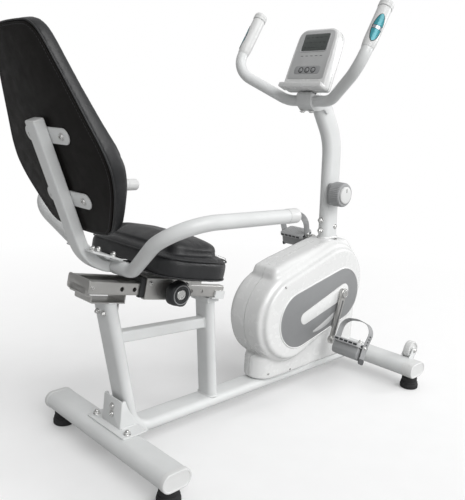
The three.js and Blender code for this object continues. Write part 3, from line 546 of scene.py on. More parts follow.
def dome_nut(build, origin, axis, size=8.0):
    """Washer, hexagon and domed cap over a bolt end."""
    place = along(origin, axis)
    washer, across = size * 1.05, size * 1.6
    build.turned([(0, 0), (washer, 0), (washer, 1.0), (washer - 0.5, 1.5), (0, 1.5)], place, 32)
    rings = [ring_of(0, 1.5), hex_ring(across, 1.5), hex_ring(across, size * 0.75),
             hex_ring(across - 1.2, size * 0.82)]
    for i in range(7):
        a = i / 6 * math.pi / 2
        r, c = max(0.001, size * 0.66 * math.cos(a)), size * 0.82 + size * 0.62 * math.sin(a)
        rings.append([(r * math.cos(t), r * math.sin(t), c)
                      for t in (2 * math.pi * k / 48 for k in range(48))])
    build.loft(rings, place)


def button_head(build, origin, axis, radius=6.5, socket=3.4):
    """Round head with a hexagon socket, over a thin washer."""
    place = along(origin, axis)
    washer = radius * 1.35
    build.turned([(0, 0), (washer, 0), (washer, 0.9), (washer - 0.4, 1.3), (0, 1.3)], place, 32)
    dome = ((0, 1.3), (radius, 1.3), (radius, 2.0), (radius * 0.9, 3.2), (radius * 0.72, 4.1),
            (socket * 1.15, 4.6))
    rings = [ring_of(r, c) for r, c in dome]
    build.loft(rings + [hex_ring(socket * 1.7, 4.4), hex_ring(socket * 1.7, 2.2), ring_of(0, 2.2)], place)


def cross_screw(build, origin, axis, radius=4.0):
    """Pan head with a cross recess."""
    head = ((0, -0.6), (radius, -0.6), (radius, 0.8), (radius * 0.86, 1.7), (radius * 0.62, 2.1))
    rings = [ring_of(r, c) for r, c in head]
    for depth in (2.1, 0.9):
        ring = []
        for k in range(48):
            t = 2 * math.pi * k / 48
            r = radius * (0.16 + 0.38 * abs(math.cos(2 * t)) ** 3)
            ring.append((r * math.cos(t), r * math.sin(t), depth))
        rings.append(ring)
    build.loft(rings + [ring_of(0, 0.7)], along(origin, axis))


# ---------- stabilisers ----------
def oval_y(x, width, height, layers):
    """Rings of a flat oval in x and z; layers are (inset, y)."""
    return [[(x + u, y, STAB_Z + v) for u, v in stadium(width - 2 * g, height - 2 * g)] for g, y in layers]


def end_cap(x, width, inner, side, seams):
    layers = [(0.9, inner + 0.3), (0, inner + 1.0)]
    for seam in seams:
        layers += [(0, seam - 0.7), (0.8, seam - 0.3), (0.8, seam + 0.3), (0, seam + 0.7)]
    layers += [(0, STAB_HALF - 3.2), (0.5, STAB_HALF - 1.2), (1.6, STAB_HALF - 0.2), (3.2, STAB_HALF),
               (4.6, STAB_HALF), (5.6, STAB_HALF - 1.2), (9, STAB_HALF - 1.4)]
    return Build().loft([[(px, side * py, pz) for px, py, pz in ring]
                         for ring in oval_y(x, width, STAB_HEIGHT + 2, layers)], at)


def stabilisers():
    Build().loft(oval_y(0, 78, STAB_HEIGHT, ((0, -246), (0, 246))), at).piece(
        "rear_stabilizer", "paint", "frame", "rear_stabilizer_tube")
    for side, s in (("left", 1), ("right", -1)):
        end_cap(0, 80, 246, s, ()).piece(
            f"rear_end_cap_{side}", "white_plastic", "frame", f"rear_stabilizer_cap_{side}")
        end_cap(FRONT_X, 82, 224, s, (231, 246)).piece(
            f"front_end_cap_{side}", "white_plastic", "frame", f"front_stabilizer_cap_{side}")
    front = Build().loft(oval_y(FRONT_X, 80, STAB_HEIGHT, ((0, -224), (0, 224))), at)
    front.piece("front_stabilizer", "paint", "frame", "front_stabilizer_tube")
    wheel_fork()


def wheel_fork():
    for side in ("left", "right"):
        hub = own(f"transport_wheel_{side}")
        ears = Build()
        outline = softened([(972, 76, 5), (990, 62, 8), (1000, 66, 8), (hub.x + 10, hub.z - 8, 10),
                            (hub.x + 5, hub.z + 10, 10), (hub.x - 9, hub.z + 10, 10), (978, 84, 6)])
        for y in (hub.y - 16, hub.y + 12.6):
            ears.plate(outline, y, y + 3.4, lambda u, v, c: at(u, c, v), 0.8)
        ears.piece(f"wheel_ears_{side}", "paint", "frame")
        pin = Build().turned([(0, -16), (3.9, -16), (3.9, 16), (0, 16)], along(at(*hub), (0, 1, 0)), 24)
        for way in (1, -1):
            button_head(pin, at(hub.x, hub.y + way * 16.2, hub.z), (0, way, 0), 6.0, 3.0)
        pin.piece(f"wheel_bolt_{side}", "bright", "frame")
        wheel = Build()
        half = [(4.4, -11), (9, -11), (10.2, -10.2), (11, -7.6), (20.5, -7.6), (21.6, -10), (24.5, -11),
                (26.8, -10.1), (27.8, -7.4), (27.8, -1.2), (27.1, -0.6)]
        wheel.ringed(half + [(r, -c) for r, c in half[::-1]], along(at(*hub), (0, 1, 0)), 56)
        wheel.piece(f"wheel_{side}", "white_plastic", f"wheel_{side}", f"transport_wheel_{side}")


def feet():
    for end in ("rear", "front"):
        for side in ("left", "right"):
            name = f"{end}_foot_{side}"
            low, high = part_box(name)
            spot = own(name)
            place = along(at(spot.x, spot.y, 0), (0, 0, 1), (0, 1, 0))
            top = (high.z - low.z) / MM - 14
            profile = [(0, 0), (23, 0), (26.4, 0.8), (27.6, 2.4, 0.7), (27.9, 4, 1.0), (27.9, 12.4, 1.0),
                       (27.2, 14, 0.7), (25.4, 15.2), (25, 16), (25.8, 17), (25.8, 20), (24.8, 21),
                       (23.2, 21.6),
                       (22.8, 22.6), (23.6, 23.6), (23.4, top - 6), (22, top - 3), (18, top - 1.7),
                       (5, top - 1.5), (0, top - 1.5)]
            pad = Build().turned(profile, place, 144, 36)
            pad.piece(f"{name}_pad", "rubber", f"foot_{end}_{side}", name, sharp=40)
            thread = [(0, top - 1.4), (4.9, top - 1.4), (4.9, top + 13), (4, top + 14), (0, top + 14)]
            Build().turned(thread, place, 32).piece(f"{name}_stud", "bright", f"foot_{end}_{side}")


# ---------- welded frame ----------
BEAM_SECTION = stadium(70, 30)
BEAM_CORNERS = [(914, 0, 66, 0), (51.6, 0, 66, 60), (-14.5, 0, 396, 0)]
POST_CORNERS = [(309.2, 0, 81.6, 0), (287, 0, 357, 0)]
CROSS_FROM, CROSS_TO = Vector((8, 0, 308.6)), Vector((290, 0, 291.3))


def weld_around(section, start, aim, plane_point, plane_normal):
    """The closed line where a bar of that section meets a flat face."""
    aim = aim.normalized()
    side = Vector((0, 1, 0))
    up = aim.cross(side)
    path = []
    for u, v in section:
        p = start + side * u + up * v
        path.append(p + aim * ((plane_point - p).dot(plane_normal) / aim.dot(plane_normal)))
    return path


def main_frame():
    frames = route(BEAM_CORNERS)
    rings = [[tuple(point + side * u + up * v) for u, v in BEAM_SECTION] for point, side, up in frames[:-1]]
    rings.append(beam_top())
    Build().loft(rings, at).piece("main_beam", "paint", "frame", "main_frame_tube", sharp=50)
    post = Build().sweep(stadium(60, 30), route(POST_CORNERS))
    post.piece("seat_post", "paint", "frame", "front_seat_post", sharp=50)
    rear_aim = (Vector(BEAM_CORNERS[2][:3]) - Vector(BEAM_CORNERS[1][:3])).normalized()
    post_aim = (Vector(POST_CORNERS[1][:3]) - Vector(POST_CORNERS[0][:3])).normalized()
    rear_face = Vector((rear_aim.z, 0, -rear_aim.x))
    post_face = Vector((-post_aim.z, 0, post_aim.x))
    bar = rounded_box(28, 28, 4)
    aim = CROSS_TO - CROSS_FROM
    rear_line = weld_around(bar, CROSS_FROM, aim, Vector(BEAM_CORNERS[2][:3]) + rear_face * 15.2, rear_face)
    post_line = weld_around(bar, CROSS_FROM, aim, Vector(POST_CORNERS[0][:3]) + post_face * 15.2, post_face)
    Build().loft([rear_line, post_line], at).piece("crossbar", "paint", "frame", "frame_crossbar", sharp=50)
    beads = Build()
    foot_line = [(POST_CORNERS[0][0] + v, u, 81.4) for u, v in stadium(61, 31)]
    runs = ((rear_line, rear_face, 2.3), (post_line, post_face, 2.3), (foot_line, (0, 0, 1), 2.6),
            (beam_top(), tray_up(), 2.4))
    for line, face, radius in runs:
        beads.rope(densified(line, 2.4), radius, face, 8, 0.16)
    beads.piece("frame_welds", "paint", "frame", sharp=60)


def tray_up():
    return in_bike(on_rail(0, 0, 1)) - in_bike(on_rail(0, 0, 0))


def beam_top():
    """The rear post's upper end, cut along the underside of the tray bracket."""
    bend, top = (Vector(corner[:3]) for corner in BEAM_CORNERS[1:])
    under = in_bike(on_rail(TRAY_FRONT, 0, TRAY_LOW - 0.2))
    return weld_around(BEAM_SECTION, top, top - bend, under, tray_up())


def densified(path, spacing):
    """A closed path with points about as far apart as spacing."""
    points = []
    for i, p in enumerate(path):
        a, b = Vector(path[i - 1]), Vector(p)
        count = max(1, round((b - a).length / spacing))
        points += [tuple(a.lerp(b, k / count)) for k in range(count)]
    return points


def foot_bracket():
    base = softened([(-18, -80, 9), (50, -80, 9), (50, 80, 9), (-18, 80, 9)], 6)
    plate = Build().plate(base, 85.3, 89.3, at, 0.7)
    cheek = softened([(1, 86.5, 2), (7, 158, 3), (16, 158, 4), (23, 138, 20), (32, 121, 20), (43, 106, 20),
                      (58, 87, 20), (79, 70, 14), (85, 59, 4), (66, 59, 6), (46, 86.5, 8)])
    for y in (35.4, -38.6):
        plate.plate(cheek, y, y + 3.2, lambda u, v, c: at(u, c, v), 0.7)
    rear = softened([(-38, 88, 2), (38, 88, 2), (38, 157, 5), (-38, 157, 5)])
    lean = math.atan2(6, 71)
    plate.plate(rear, 0, 3.4, lambda u, v, c: at(c + (v - 87) * math.tan(lean), u, v), 0.8)
    plate.piece("rear_bracket", "paint", "frame", "rear_foot_bracket", sharp=40)
    nuts = Build()
    for s in (1, -1):
        dome_nut(nuts, at(2, s * 67, 89.3), (0, 0, 1), 8.5)
    nuts.piece("rear_bracket_nuts", "bright", "frame")
    screws = Build()
    outward = (-math.cos(lean), 0, math.sin(lean))
    for z in (135, 116):
        button_head(screws, at((z - 87) * math.tan(lean) - 0.2, 0, z), outward, 6.5)
    screws.piece("rear_bracket_screws", "bright", "frame")
    beads = Build()
    count = 24
    ripple = [0.4] + [1 + 0.14 * math.sin(k * 2.1) for k in range(1, count)] + [0.4]
    for s in (1, -1):
        (start, side, up), (end, _, _) = route([(2, s * 39.4, 89.6, 0), (44, s * 39.4, 89.6, 0)])
        stations = [(start.lerp(end, k / count), side, up) for k in range(count + 1)]
        beads.sweep(circle(2.6, 10), stations, ripple)
    beads.piece("rear_bracket_welds", "paint", "frame", sharp=60)


def saddle():
    """Curved plate that carries the front stabiliser at the end of the beam."""
    section = []
    for width, height, edge, way in ((88.6, 52.6, 26.3, 1), (80.8, 44.8, 22.4, -1)):
        curve = [p for p in stadium(width, height, 16) if p[0] < 14]
        curve.sort(key=lambda p: math.atan2(p[1], p[0]) % (2 * math.pi))
        section += ([(12, edge)] + curve + [(12, -edge)])[::way]
    rings = [[(FRONT_X + u, y, STAB_Z + v) for u, v in section] for y in (-55, 55)]
    plate = Build().loft(rings, at)
    plate.piece("front_saddle", "paint", "frame", "front_saddle_bracket", sharp=40, bevel=0.8)
    nuts = Build()
    for s in (1, -1):
        dome_nut(nuts, at(FRONT_X - 6, s * 42, STAB_Z + 26.3), (0, 0, 1), 8.0)
    nuts.piece("front_saddle_nuts", "bright", "frame")


# ---------- seat rail and carriage ----------
def channel(points, start, end):
    """A folded channel along the rail; points are (y, h)."""
    return [[(s, y, h) for y, h in points] for s in (start, end)]


def mirrored(half):
    """A section (y, h, corner radius) drawn on one side only, closed with its mirror image."""
    return half + [(-y, h, r) for y, h, r in half[::-1]]


def rail():
    half = [(-42, 418, 2), (-42, 442, 1.5), (-25, 442, 0.8), (-25, 445, 0.8), (-45, 445, 3), (-45, 415, 4)]
    section = softened([(-y, h, r) for y, h, r in half[::-1]] + half)
    holes = Build()
    for k in range(-4, 4):
        s = PIN_S + PIN_PITCH * k
        holes.loft([[(s + u, y, PIN_H + v) for u, v in circle(5.3, 32)] for y in (-49, -38)], on_rail)
    track = Build().loft(channel(section, RAIL_REAR, 234), on_rail).mesh("seat_rail_channel")
    dress(carved(track, holes), "seat_rail_channel", "steel", "frame", "seat_rail")
    tray_bracket()
    keep(["rail_front_bracket"], "paint")
    stops = Build()
    for s in (-156, 227):
        for side in (1, -1):
            cross_screw(stops, on_rail(s, side * 45.2, 430), (0, side, 0), 4.5)
    stops.piece("rail_stop_screws", "bright", "frame")


def tray_bracket():
    """Folded sheet: closes the rail's rear end, steps in under it and carries it on the rear post."""
    def upright(y, h, s):
        return on_rail(s, y, h)

    def panel(half, low, high, foot, head, steps=4):
        return softened([(-half, low, foot), (half, low, foot), (half, high, head), (-half, high, head)],
                        steps)

    thick = TRAY_SHEET / 2
    low, behind = TRAY_LOW + thick, RAIL_REAR - thick
    strip = [(behind, 0, 428, 0), (behind, 0, 410, 4), (TRAY_REAR + thick, 0, 410, 4),
             (TRAY_REAR + thick, 0, low, 4), (TRAY_FRONT - 4, 0, low, 0)]
    rings = []
    for point, side, up in route(strip, step=math.radians(15)):
        section = rounded_box(2 * TRAY_HALF, TRAY_SHEET, 0.7, 2)
        rings.append([tuple(point + side * u + up * v) for u, v in section])
    sheet = Build().loft(rings, on_rail)
    sheet.plate(panel(46, 413, 447.5, 9, 9, 6), RAIL_REAR - TRAY_SHEET, RAIL_REAR - 0.2, upright, 0.7)
    sheet.plate(panel(13, 366, TRAY_LOW + TRAY_SHEET, 5, 1, 5), TRAY_FRONT - TRAY_SHEET, TRAY_FRONT, upright,
                0.5)
    sheet.plate(panel(TRAY_HALF, TRAY_LOW, TRAY_HIGH, 1, 1), TRAY_FRONT - TRAY_SHEET, TRAY_FRONT, upright,
                0.5)
    sheet.piece("rail_tray", "steel", "frame", "rail_rear_bracket", sharp=40)
    bend, top = (Vector(corner[:3]) for corner in BEAM_CORNERS[1:])
    aim = (top - bend).normalized()
    rearward = Vector((-aim.z, 0, aim.x))
    bolts = Build()
    for y in (13, -13):
        dome_nut(bolts, at(*(top - aim * 17 + rearward * 15 + Vector((0, y, 0)))), rearward, 6.6)
    bolts.piece("rear_post_bolts", "bright", "frame")


def carriage():
    """Channel and its liner that slide on the rail, both with the lock pin's hole in their right wall."""
    pin = along(on_rail(PIN_S, 0, PIN_H), (0, 1, 0))
    pin_hole = Build().turned([(0, -64), (5.4, -64), (5.4, -43), (0, -43)], pin, 32)
    outer = [(-52.5, 461.5, 5), (-52.5, 407.5, 2), (-40, 407.5, 1), (-40, 411, 1), (-49, 411, 1.5),
             (-49, 458, 2)]
    shell = Build().loft(channel(softened(mirrored(outer)), -20, 114), on_rail).mesh("carriage")
    dress(carved(shell, pin_hole), "carriage_shell", "steel", "seat", "seat_carriage", bevel=0.4)
    inner = [(-48.7, 457.7, 1.5), (-48.7, 411.3, 0.5), (-38, 411.3, 0.5), (-38, 414.6, 0.5),
             (-45.3, 414.6, 0.5),
             (-45.3, 445.3, 1)]
    liner = Build().loft(channel(softened(mirrored(inner), 3), -33, 112), on_rail).mesh("liner")
    dress(carved(liner, pin_hole), "slide_liner", "black_plastic", "seat", "carriage_liner")
    bolts = Build()
    for s in (-8, 102):
        for side in (1, -1):
            button_head(bolts, on_rail(s, side * 52.6, 447), (0, side, 0), 4.6, 2.4)
    bolts.piece("carriage_screws", "bright", "seat")


def lock_knob():
    place = along(on_rail(PIN_S, -62, PIN_H), (0, -1, 0))
    profile = [(0, 0), (13, 0), (14, 0.6), (27, 1.6, 2), (30.6, 4, 3.4), (32, 8, 3.5), (32, 22, 3.5),
               (30.6, 26.4, 3.3), (27, 29, 2.4), (21, 30.2), (15.4, 30), (14.6, 29.2), (14, 27.8), (0, 27.8)]
    knob = Build().turned(profile, place, 100, 5)
    knob.piece("seat_lock_knob", "black_plastic", "lock", "lock_knob", sharp=40)
    cap = [(0, 27.9), (12.6, 27.9), (12.6, 28.8), (11.2, 29.8), (7, 30), (6.4, 29.2), (0, 29.2)]
    Build().turned(cap, place, 48).piece("seat_lock_cap", "bright", "lock")
    ring = Build().ringed(((21.4, 29.6), (21.6, 30.7), (22.6, 31.1), (23.6, 30.7), (23.8, 29.6)), place, 72)
    ring.piece("seat_lock_ring", "grey_plastic", "lock", sharp=50)
    pin = Build().turned([(0, -16), (4, -16), (5, -14.6), (5, 0), (0, 0)], place, 32)
    pin.piece("seat_lock_pin", "bright", "lock", "lock_pin")
    collar = Build().ringed(((5.6, -9.4), (9.4, -9.4), (9.4, -8.6), (8.8, -8.2), (5.6, -8.2)), place, 40)
    collar.piece("lock_collar", "steel", "seat")


# ---------- seat structure ----------
def seat_structure():
    tube = route([(-176.8, 0, 801.9, 0), (-65, 0, 494.7, 95), (190.5, 0, 446.9, 0)])
    Build().sweep(rounded_box(40, 25, 4), tube).piece("seat_tube", "paint", "seat", "seat_frame_tube",
                                                      sharp=50)
    point, side, up = tube[0]
    aim = (tube[0][0] - tube[1][0]).normalized()
    plug = Build()
    stations = [(point + aim * d, side, up) for d in (-3, 0.2, 2.0, 2.8)]
    plug.sweep(rounded_box(39.6, 24.6, 4), stations, [0.9, 1.0, 0.96, 0.86])
    plug.piece("seat_tube_plug", "white_plastic", "seat", sharp=40)
    for label, v in (("lower", 79.8), ("upper", 218.2)):
        strip = Build().plate(stadium(176, 34, 16), -4.2, -0.4, lambda u, w, c, v=v: on_back(c, u, v + w),
                              0.7)
        strip.piece(f"back_strip_{label}", "paint", "seat", f"back_bracket_{label}", sharp=40)
        heads = Build()
        rear = on_back(-1, 0, 0) - on_back(0, 0, 0)
        for y in (64, -64):
            button_head(heads, on_back(-4.2, y, v), rear, 6.5, 3.8)
        heads.piece(f"back_strip_bolts_{label}", "bright", "seat")


def side_handles():
    for side, s, bend in (("left", 1, -62), ("right", -1, -72)):
        corners = [(276, HANDLE_Y, 619.8, 0), (bend, HANDLE_Y, 627.5, 88), (0, 86, 486, 60), (-2, 21, 484, 0)]
        path = route([(x, s * y, z, r) for x, y, z, r in corners], side=(0, s, 0))
        tube = Build().sweep(circle(HANDLE_RADIUS, 36), path)
        tube.piece(f"handle_tube_{side}", "paint", "seat", f"side_handle_{side}", sharp=50)
        point, across, up = path[0]
        back = (path[1][0] - path[0][0]).normalized()
        cap = Build()
        steps = ((31, 0.98), (30.4, 1.045), (26, 1.06), (4, 1.06), (0.4, 1.03), (-2.4, 0.9), (-4.2, 0.66),
                 (-5, 0.3))
        stations = [(point + back * d, across, up) for d, _ in steps]
        cap.sweep(circle(HANDLE_RADIUS, 36), stations, [k for _, k in steps])
        cap.piece(f"handle_cap_{side}", "white_plastic", "seat", sharp=45)


def handle_plate():
    tilt = math.radians(20)
    c, s = math.cos(tilt), math.sin(tilt)

    def place(u, v, w):
        return at(u * c + w * s - 38, v, -u * s + w * c + 518)

    outline = softened([(-46, -58, 8), (37, -58, 8), (37, 58, 8), (-46, 58, 8), (-46, 21, 2), (-2, 21, 5),
                        (-2, -21, 5),
                        (-46, -21, 2)])
    plate = Build().plate(outline, -2, 2, place, 0.6)
    plate.piece("handle_bracket", "paint", "seat", "handle_plate", sharp=40)
    nuts = Build()
    up = Vector((s, 0, c))
    for u in (-32, 24):
        for y in (31, -31):
            dome_nut(nuts, place(u, y, 2), up, 7.5)
    nuts.piece("handle_bracket_nuts", "bright", "seat")


# ---------- cushions ----------
BACK_HALF = [(50, 440), (75, 433), (93, 418), (106, 394), (116, 368), (133, 329), (148, 291), (166, 245),
             (185, 200), (192, 166), (192, 144), (181, 108), (163, 76), (139, 38), (121, 15), (92, 0)]


def smooth_outline(points, rounds=3):
    """Chaikin corner cutting of a closed outline."""
    for _ in range(rounds):
        cut = []
        for i, p in enumerate(points):
            q = points[(i + 1) % len(points)]
            cut.append((0.75 * p[0] + 0.25 * q[0], 0.75 * p[1] + 0.25 * q[1]))
            cut.append((0.25 * p[0] + 0.75 * q[0], 0.25 * p[1] + 0.75 * q[1]))
        points = cut
    return points


BACK_OUTLINE = smooth_outline(BACK_HALF[::-1] + [(-y, v) for y, v in BACK_HALF])


def seat_outline(grow=0.0):
    rear, front, half = -62, 144, 180
    points = []
    for cx, cy, r, start in ((front - 84, half - 84, 84, 0), (rear + 64, half - 64, 64, 0.5),
                             (rear + 64, -half + 64, 64, 1.0), (front - 84, -half + 84, 84, 1.5)):
        points += arc(cx, cy, r + grow, start * math.pi, (start + 0.5) * math.pi, 14)
    return points


def pad_mesh(name, outline, layers, place, crown):
    """Closed pad: outline insets at heights, then a crowned top drawn in to the middle."""
    rings = []
    for amount, h in layers:
        rings.append([(u, v, h) for u, v in inset(outline, amount)])
    top = rings[-1]
    cu = sum(p[0] for p in top) / len(top)
    cv = sum(p[1] for p in top) / len(top)
    for k in (0.86, 0.68, 0.48, 0.28, 0.1):
        rise = crown * (1 - k ** 2.2)
        rings.append([(cu + (u - cu) * k, cv + (v - cv) * k, h + rise) for u, v, h in top])
    return Build().loft(rings, place).mesh(name)


def voxel_skin(obj, size, iterations, factor=0.5):
    """Fuses the solids of obj into one even skin and relaxes it."""
    grid = obj.modifiers.new("grid", "REMESH")
    grid.mode = "VOXEL"
    grid.voxel_size = size * MM
    apply_modifiers(obj)
    relax = obj.modifiers.new("relax", "SMOOTH")
    relax.iterations = iterations
    relax.factor = factor
    apply_modifiers(obj)


def stuffed(mesh, voxel, held, pressure, limit, frames=20):
    """Cloth cover blown out over its foam: remeshed, swollen by pressure, every move capped at limit."""
    obj = scratch(mesh)
    voxel_skin(obj, voxel, 3)
    rest = [v.co.copy() for v in obj.data.vertices]
    fixed = obj.vertex_groups.new(name="held")
    fixed.add([i for i, p in enumerate(rest) if held(p)], 1.0, "REPLACE")
    cloth = obj.modifiers.new("cover", "CLOTH")
    cloth.settings.quality = 6
    cloth.settings.mass = 0.35
    cloth.settings.tension_stiffness = 12
    cloth.settings.compression_stiffness = 12
    cloth.settings.bending_stiffness = 1.5
    cloth.settings.use_pressure = True
    cloth.settings.uniform_pressure_force = pressure
    cloth.settings.vertex_group_mass = "held"
    cloth.settings.effector_weights.gravity = 0
    cloth.collision_settings.use_collision = False
    cloth.point_cache.frame_start = 1
    cloth.point_cache.frame_end = frames
    for f in range(1, frames + 1):
        bpy.context.scene.frame_set(f)
    apply_modifiers(obj)
    for v, start in zip(obj.data.vertices, rest):
        move = v.co - start
        if move.length > limit * MM:
            v.co = start + move.normalized() * limit * MM
    bpy.context.scene.frame_set(1)
    fine = obj.modifiers.new("fine", "SUBSURF")
    fine.levels = fine.render_levels = 1
    apply_modifiers(obj)
    return taken(obj)


def pressed_seams(mesh, local, seams, reach=5.0):
    """Sinks the cover along seams: each is (distance function of local millimetres, depth)."""
    mesh.update()
    normals = [v.normal.copy() for v in mesh.vertices]
    for v, n in zip(mesh.vertices, normals):
        p = local(v.co)
        for away, depth in seams:
            d = away(p)
            if d < 3 * reach:
                v.co -= n * (depth * math.exp(-(d / reach) ** 2) * MM)


def local_of(place):
    """Turns row-frame metres back into the millimetres that place() takes."""
    origin = place(0, 0, 0)
    axes = [(place(*unit) - origin).normalized() for unit in ((1, 0, 0), (0, 1, 0), (0, 0, 1))]
    return lambda p: Vector([(p - origin).dot(axis) / MM for axis in axes])


def outline_distance(outline, u_index, v_index, depth_index, depth_range):
    """Distance from a closed outline in one plane, for points within a depth range."""
    dense = [Vector(p) for p in densified(outline, 4.0)]
    low, high = depth_range

    def away(p):
        if not low <= p[depth_index] <= high:
            return 1e6
        q = Vector((p[u_index], p[v_index]))
        return min((q - d).length for d in dense)

    return away


def stitches(name, outline, place, normal_lift, body, length=4.2, gap=2.4):
    """A run of short thread stitches laid along an outline."""
    dense = densified(outline, 0.8)
    build = Build()
    travelled = 0.0
    last = Vector(dense[-1])
    start = None
    for p in dense:
        q = Vector(p)
        travelled += (q - last).length
        last = q
        phase = travelled % (length + gap)
        if phase < length and start is None:
            start = q
        if phase >= length and start is not None:
            a, b = (in_bike(place(r.x, r.y, normal_lift(r))) for r in (start, q))
            side = Vector((0, 1, 0)) if abs((b - a).normalized().y) < 0.9 else Vector((1, 0, 0))
            aim = (b - a).normalized()
            side = (side - aim * side.dot(aim)).normalized()
            up = aim.cross(side)
            stations = [(a.lerp(b, t), side, up) for t in (0, 0.2, 0.8, 1)]
            build.sweep(circle(0.55, 6), stations, [0.3, 1, 1, 0.3])
            start = None
    return build.piece(name, "thread", body, sharp=60)


def back_cushion():
    def place(u, v, w):
        return on_back(w, u, v)

    def shaped(u, v, w):
        lumbar = 0.1 * math.exp(-((v - 135) / 75) ** 2)
        slimmer = 0.17 * min(1, max(0, (v - 190) / 120))
        return on_back(w * (1 + lumbar - slimmer), u, v)

    local = local_of(place)
    layers = [(6, 5), (2.6, 5.8), (0.8, 8.5), (0, 14), (0, 28), (1.6, 34), (5, 38), (11, 40), (20, 41.5)]
    mesh = pad_mesh("back_cushion", BACK_OUTLINE, layers, shaped, 3.0)
    mesh = stuffed(mesh, 5, lambda p: local(p)[2] < 33, 4.0, 8.0)
    front_seam = inset(BACK_OUTLINE, 26)
    pressed_seams(mesh, local, [(outline_distance(front_seam, 0, 1, 2, (27, 70)), 3.4)], 4.5)
    pad = dress(mesh, "back_cushion", "vinyl", "seat", "backrest_pad", sharp=80)
    board = Build().plate(inset(BACK_OUTLINE, 3.2), 0.2, 5.6, place, 1.6)
    board.piece("back_board", "back_vinyl", "seat", sharp=45)
    welt = [tuple(in_bike(place(u, v, 5.2))) for u, v in densified(inset(BACK_OUTLINE, 0.6), 4)]
    normal = place(0, 0, 1) - place(0, 0, 0)
    Build().rope(welt, 2.1, normal, 8).piece("back_welt", "vinyl", "seat", sharp=70)
    stitches("back_stitching", inset(BACK_OUTLINE, 7.5), place, lambda p: 0.1, "seat")


def seat_cushion():
    place = on_rail
    local = local_of(place)
    outline = seat_outline()
    ledge = PAD_LOW + PAD_SIDE
    top = ledge + PAD_CROWN
    layers = [(9, PAD_LOW + 0.5), (4, PAD_LOW + 1.5), (1, PAD_LOW + 6), (0, PAD_LOW + 14), (0, ledge - 14),
              (2, ledge - 7), (6, ledge - 3), (13, ledge - 0.8), (22, ledge), (26, ledge + 1.2),
              (27.5, ledge + 5),
              (29, ledge + 14), (33, ledge + 22), (42, top - 9), (58, top - 6)]
    mesh = pad_mesh("seat_cushion", outline, layers, place, 2.5)
    notch = Build().plate([(-76, -66), (134, -66), (134, 66), (-76, 66)], 455, 491.5, place)
    mesh = carved(mesh, notch)

    def held(p):
        s, y, h = local(p)
        return h < ledge - 12 or (abs(y) < 69 and h < 495 and s < 138)

    mesh = stuffed(mesh, 5, held, 4.0, 8.0)
    step = inset(outline, 24)
    rim = inset(outline, 1.0)
    pressed_seams(mesh, local, [(outline_distance(step, 0, 1, 2, (ledge - 10, ledge + 14)), 3.5)], 4.5)
    mesh.materials.append(FINISHES["vinyl"])
    mesh.materials.append(FINISHES["underside"])
    for face in mesh.polygons:
        s, y, h = local(face.center)
        if h < PAD_LOW + 2.5 or (h < 493 and abs(y) < 68 and s < 136):
            face.material_index = 1
    pad = dress(mesh, "seat_cushion", "vinyl", "seat", "seat_pad", sharp=80)
    normal = place(0, 0, 1) - place(0, 0, 0)
    welt = Build()
    for h in (ledge - 6, PAD_LOW + 5):
        path = [tuple(in_bike(place(u, v, h))) for u, v in densified(rim, 4)]
        welt.rope(path, 1.9, normal, 8)
    welt.piece("seat_welt", "vinyl", "seat", sharp=70)
    stitches("seat_stitching", inset(outline, 3.0), place, lambda p: ledge + 0.2, "seat")


# ---------- drive cover ----------
SHOULDER = [(500, 330, 4), (503, 392, 8), (511, 409, 8), (560, 424, 120), (748, 466, 60), (833, 463, 26),
            (862, 430, 50),
            (884, 380, 60), (700, 280, 4)]
SKIRT = [(600, 112, 4), (600, 83, 4), (868, 83, 5), (884, 92, 8), (893, 130, 20), (893, 335, 4),
         (700, 330, 4),
         (600, 262, 4)]
SEAM_HALF = 0.8
NOSE_REAR, NOSE_LOW, NOSE_TOP, NOSE_HALF = 466, 83, 152, 48


def rim_layers(half, radius, steps=6):
    """Inset and height of a rounded rim."""
    layers = [(0, -16), (0, half - radius)]
    for i in range(1, steps + 1):
        a = math.pi / 2 * i / steps
        layers.append((radius * (1 - math.cos(a)), half - radius + radius * math.sin(a)))
    return layers


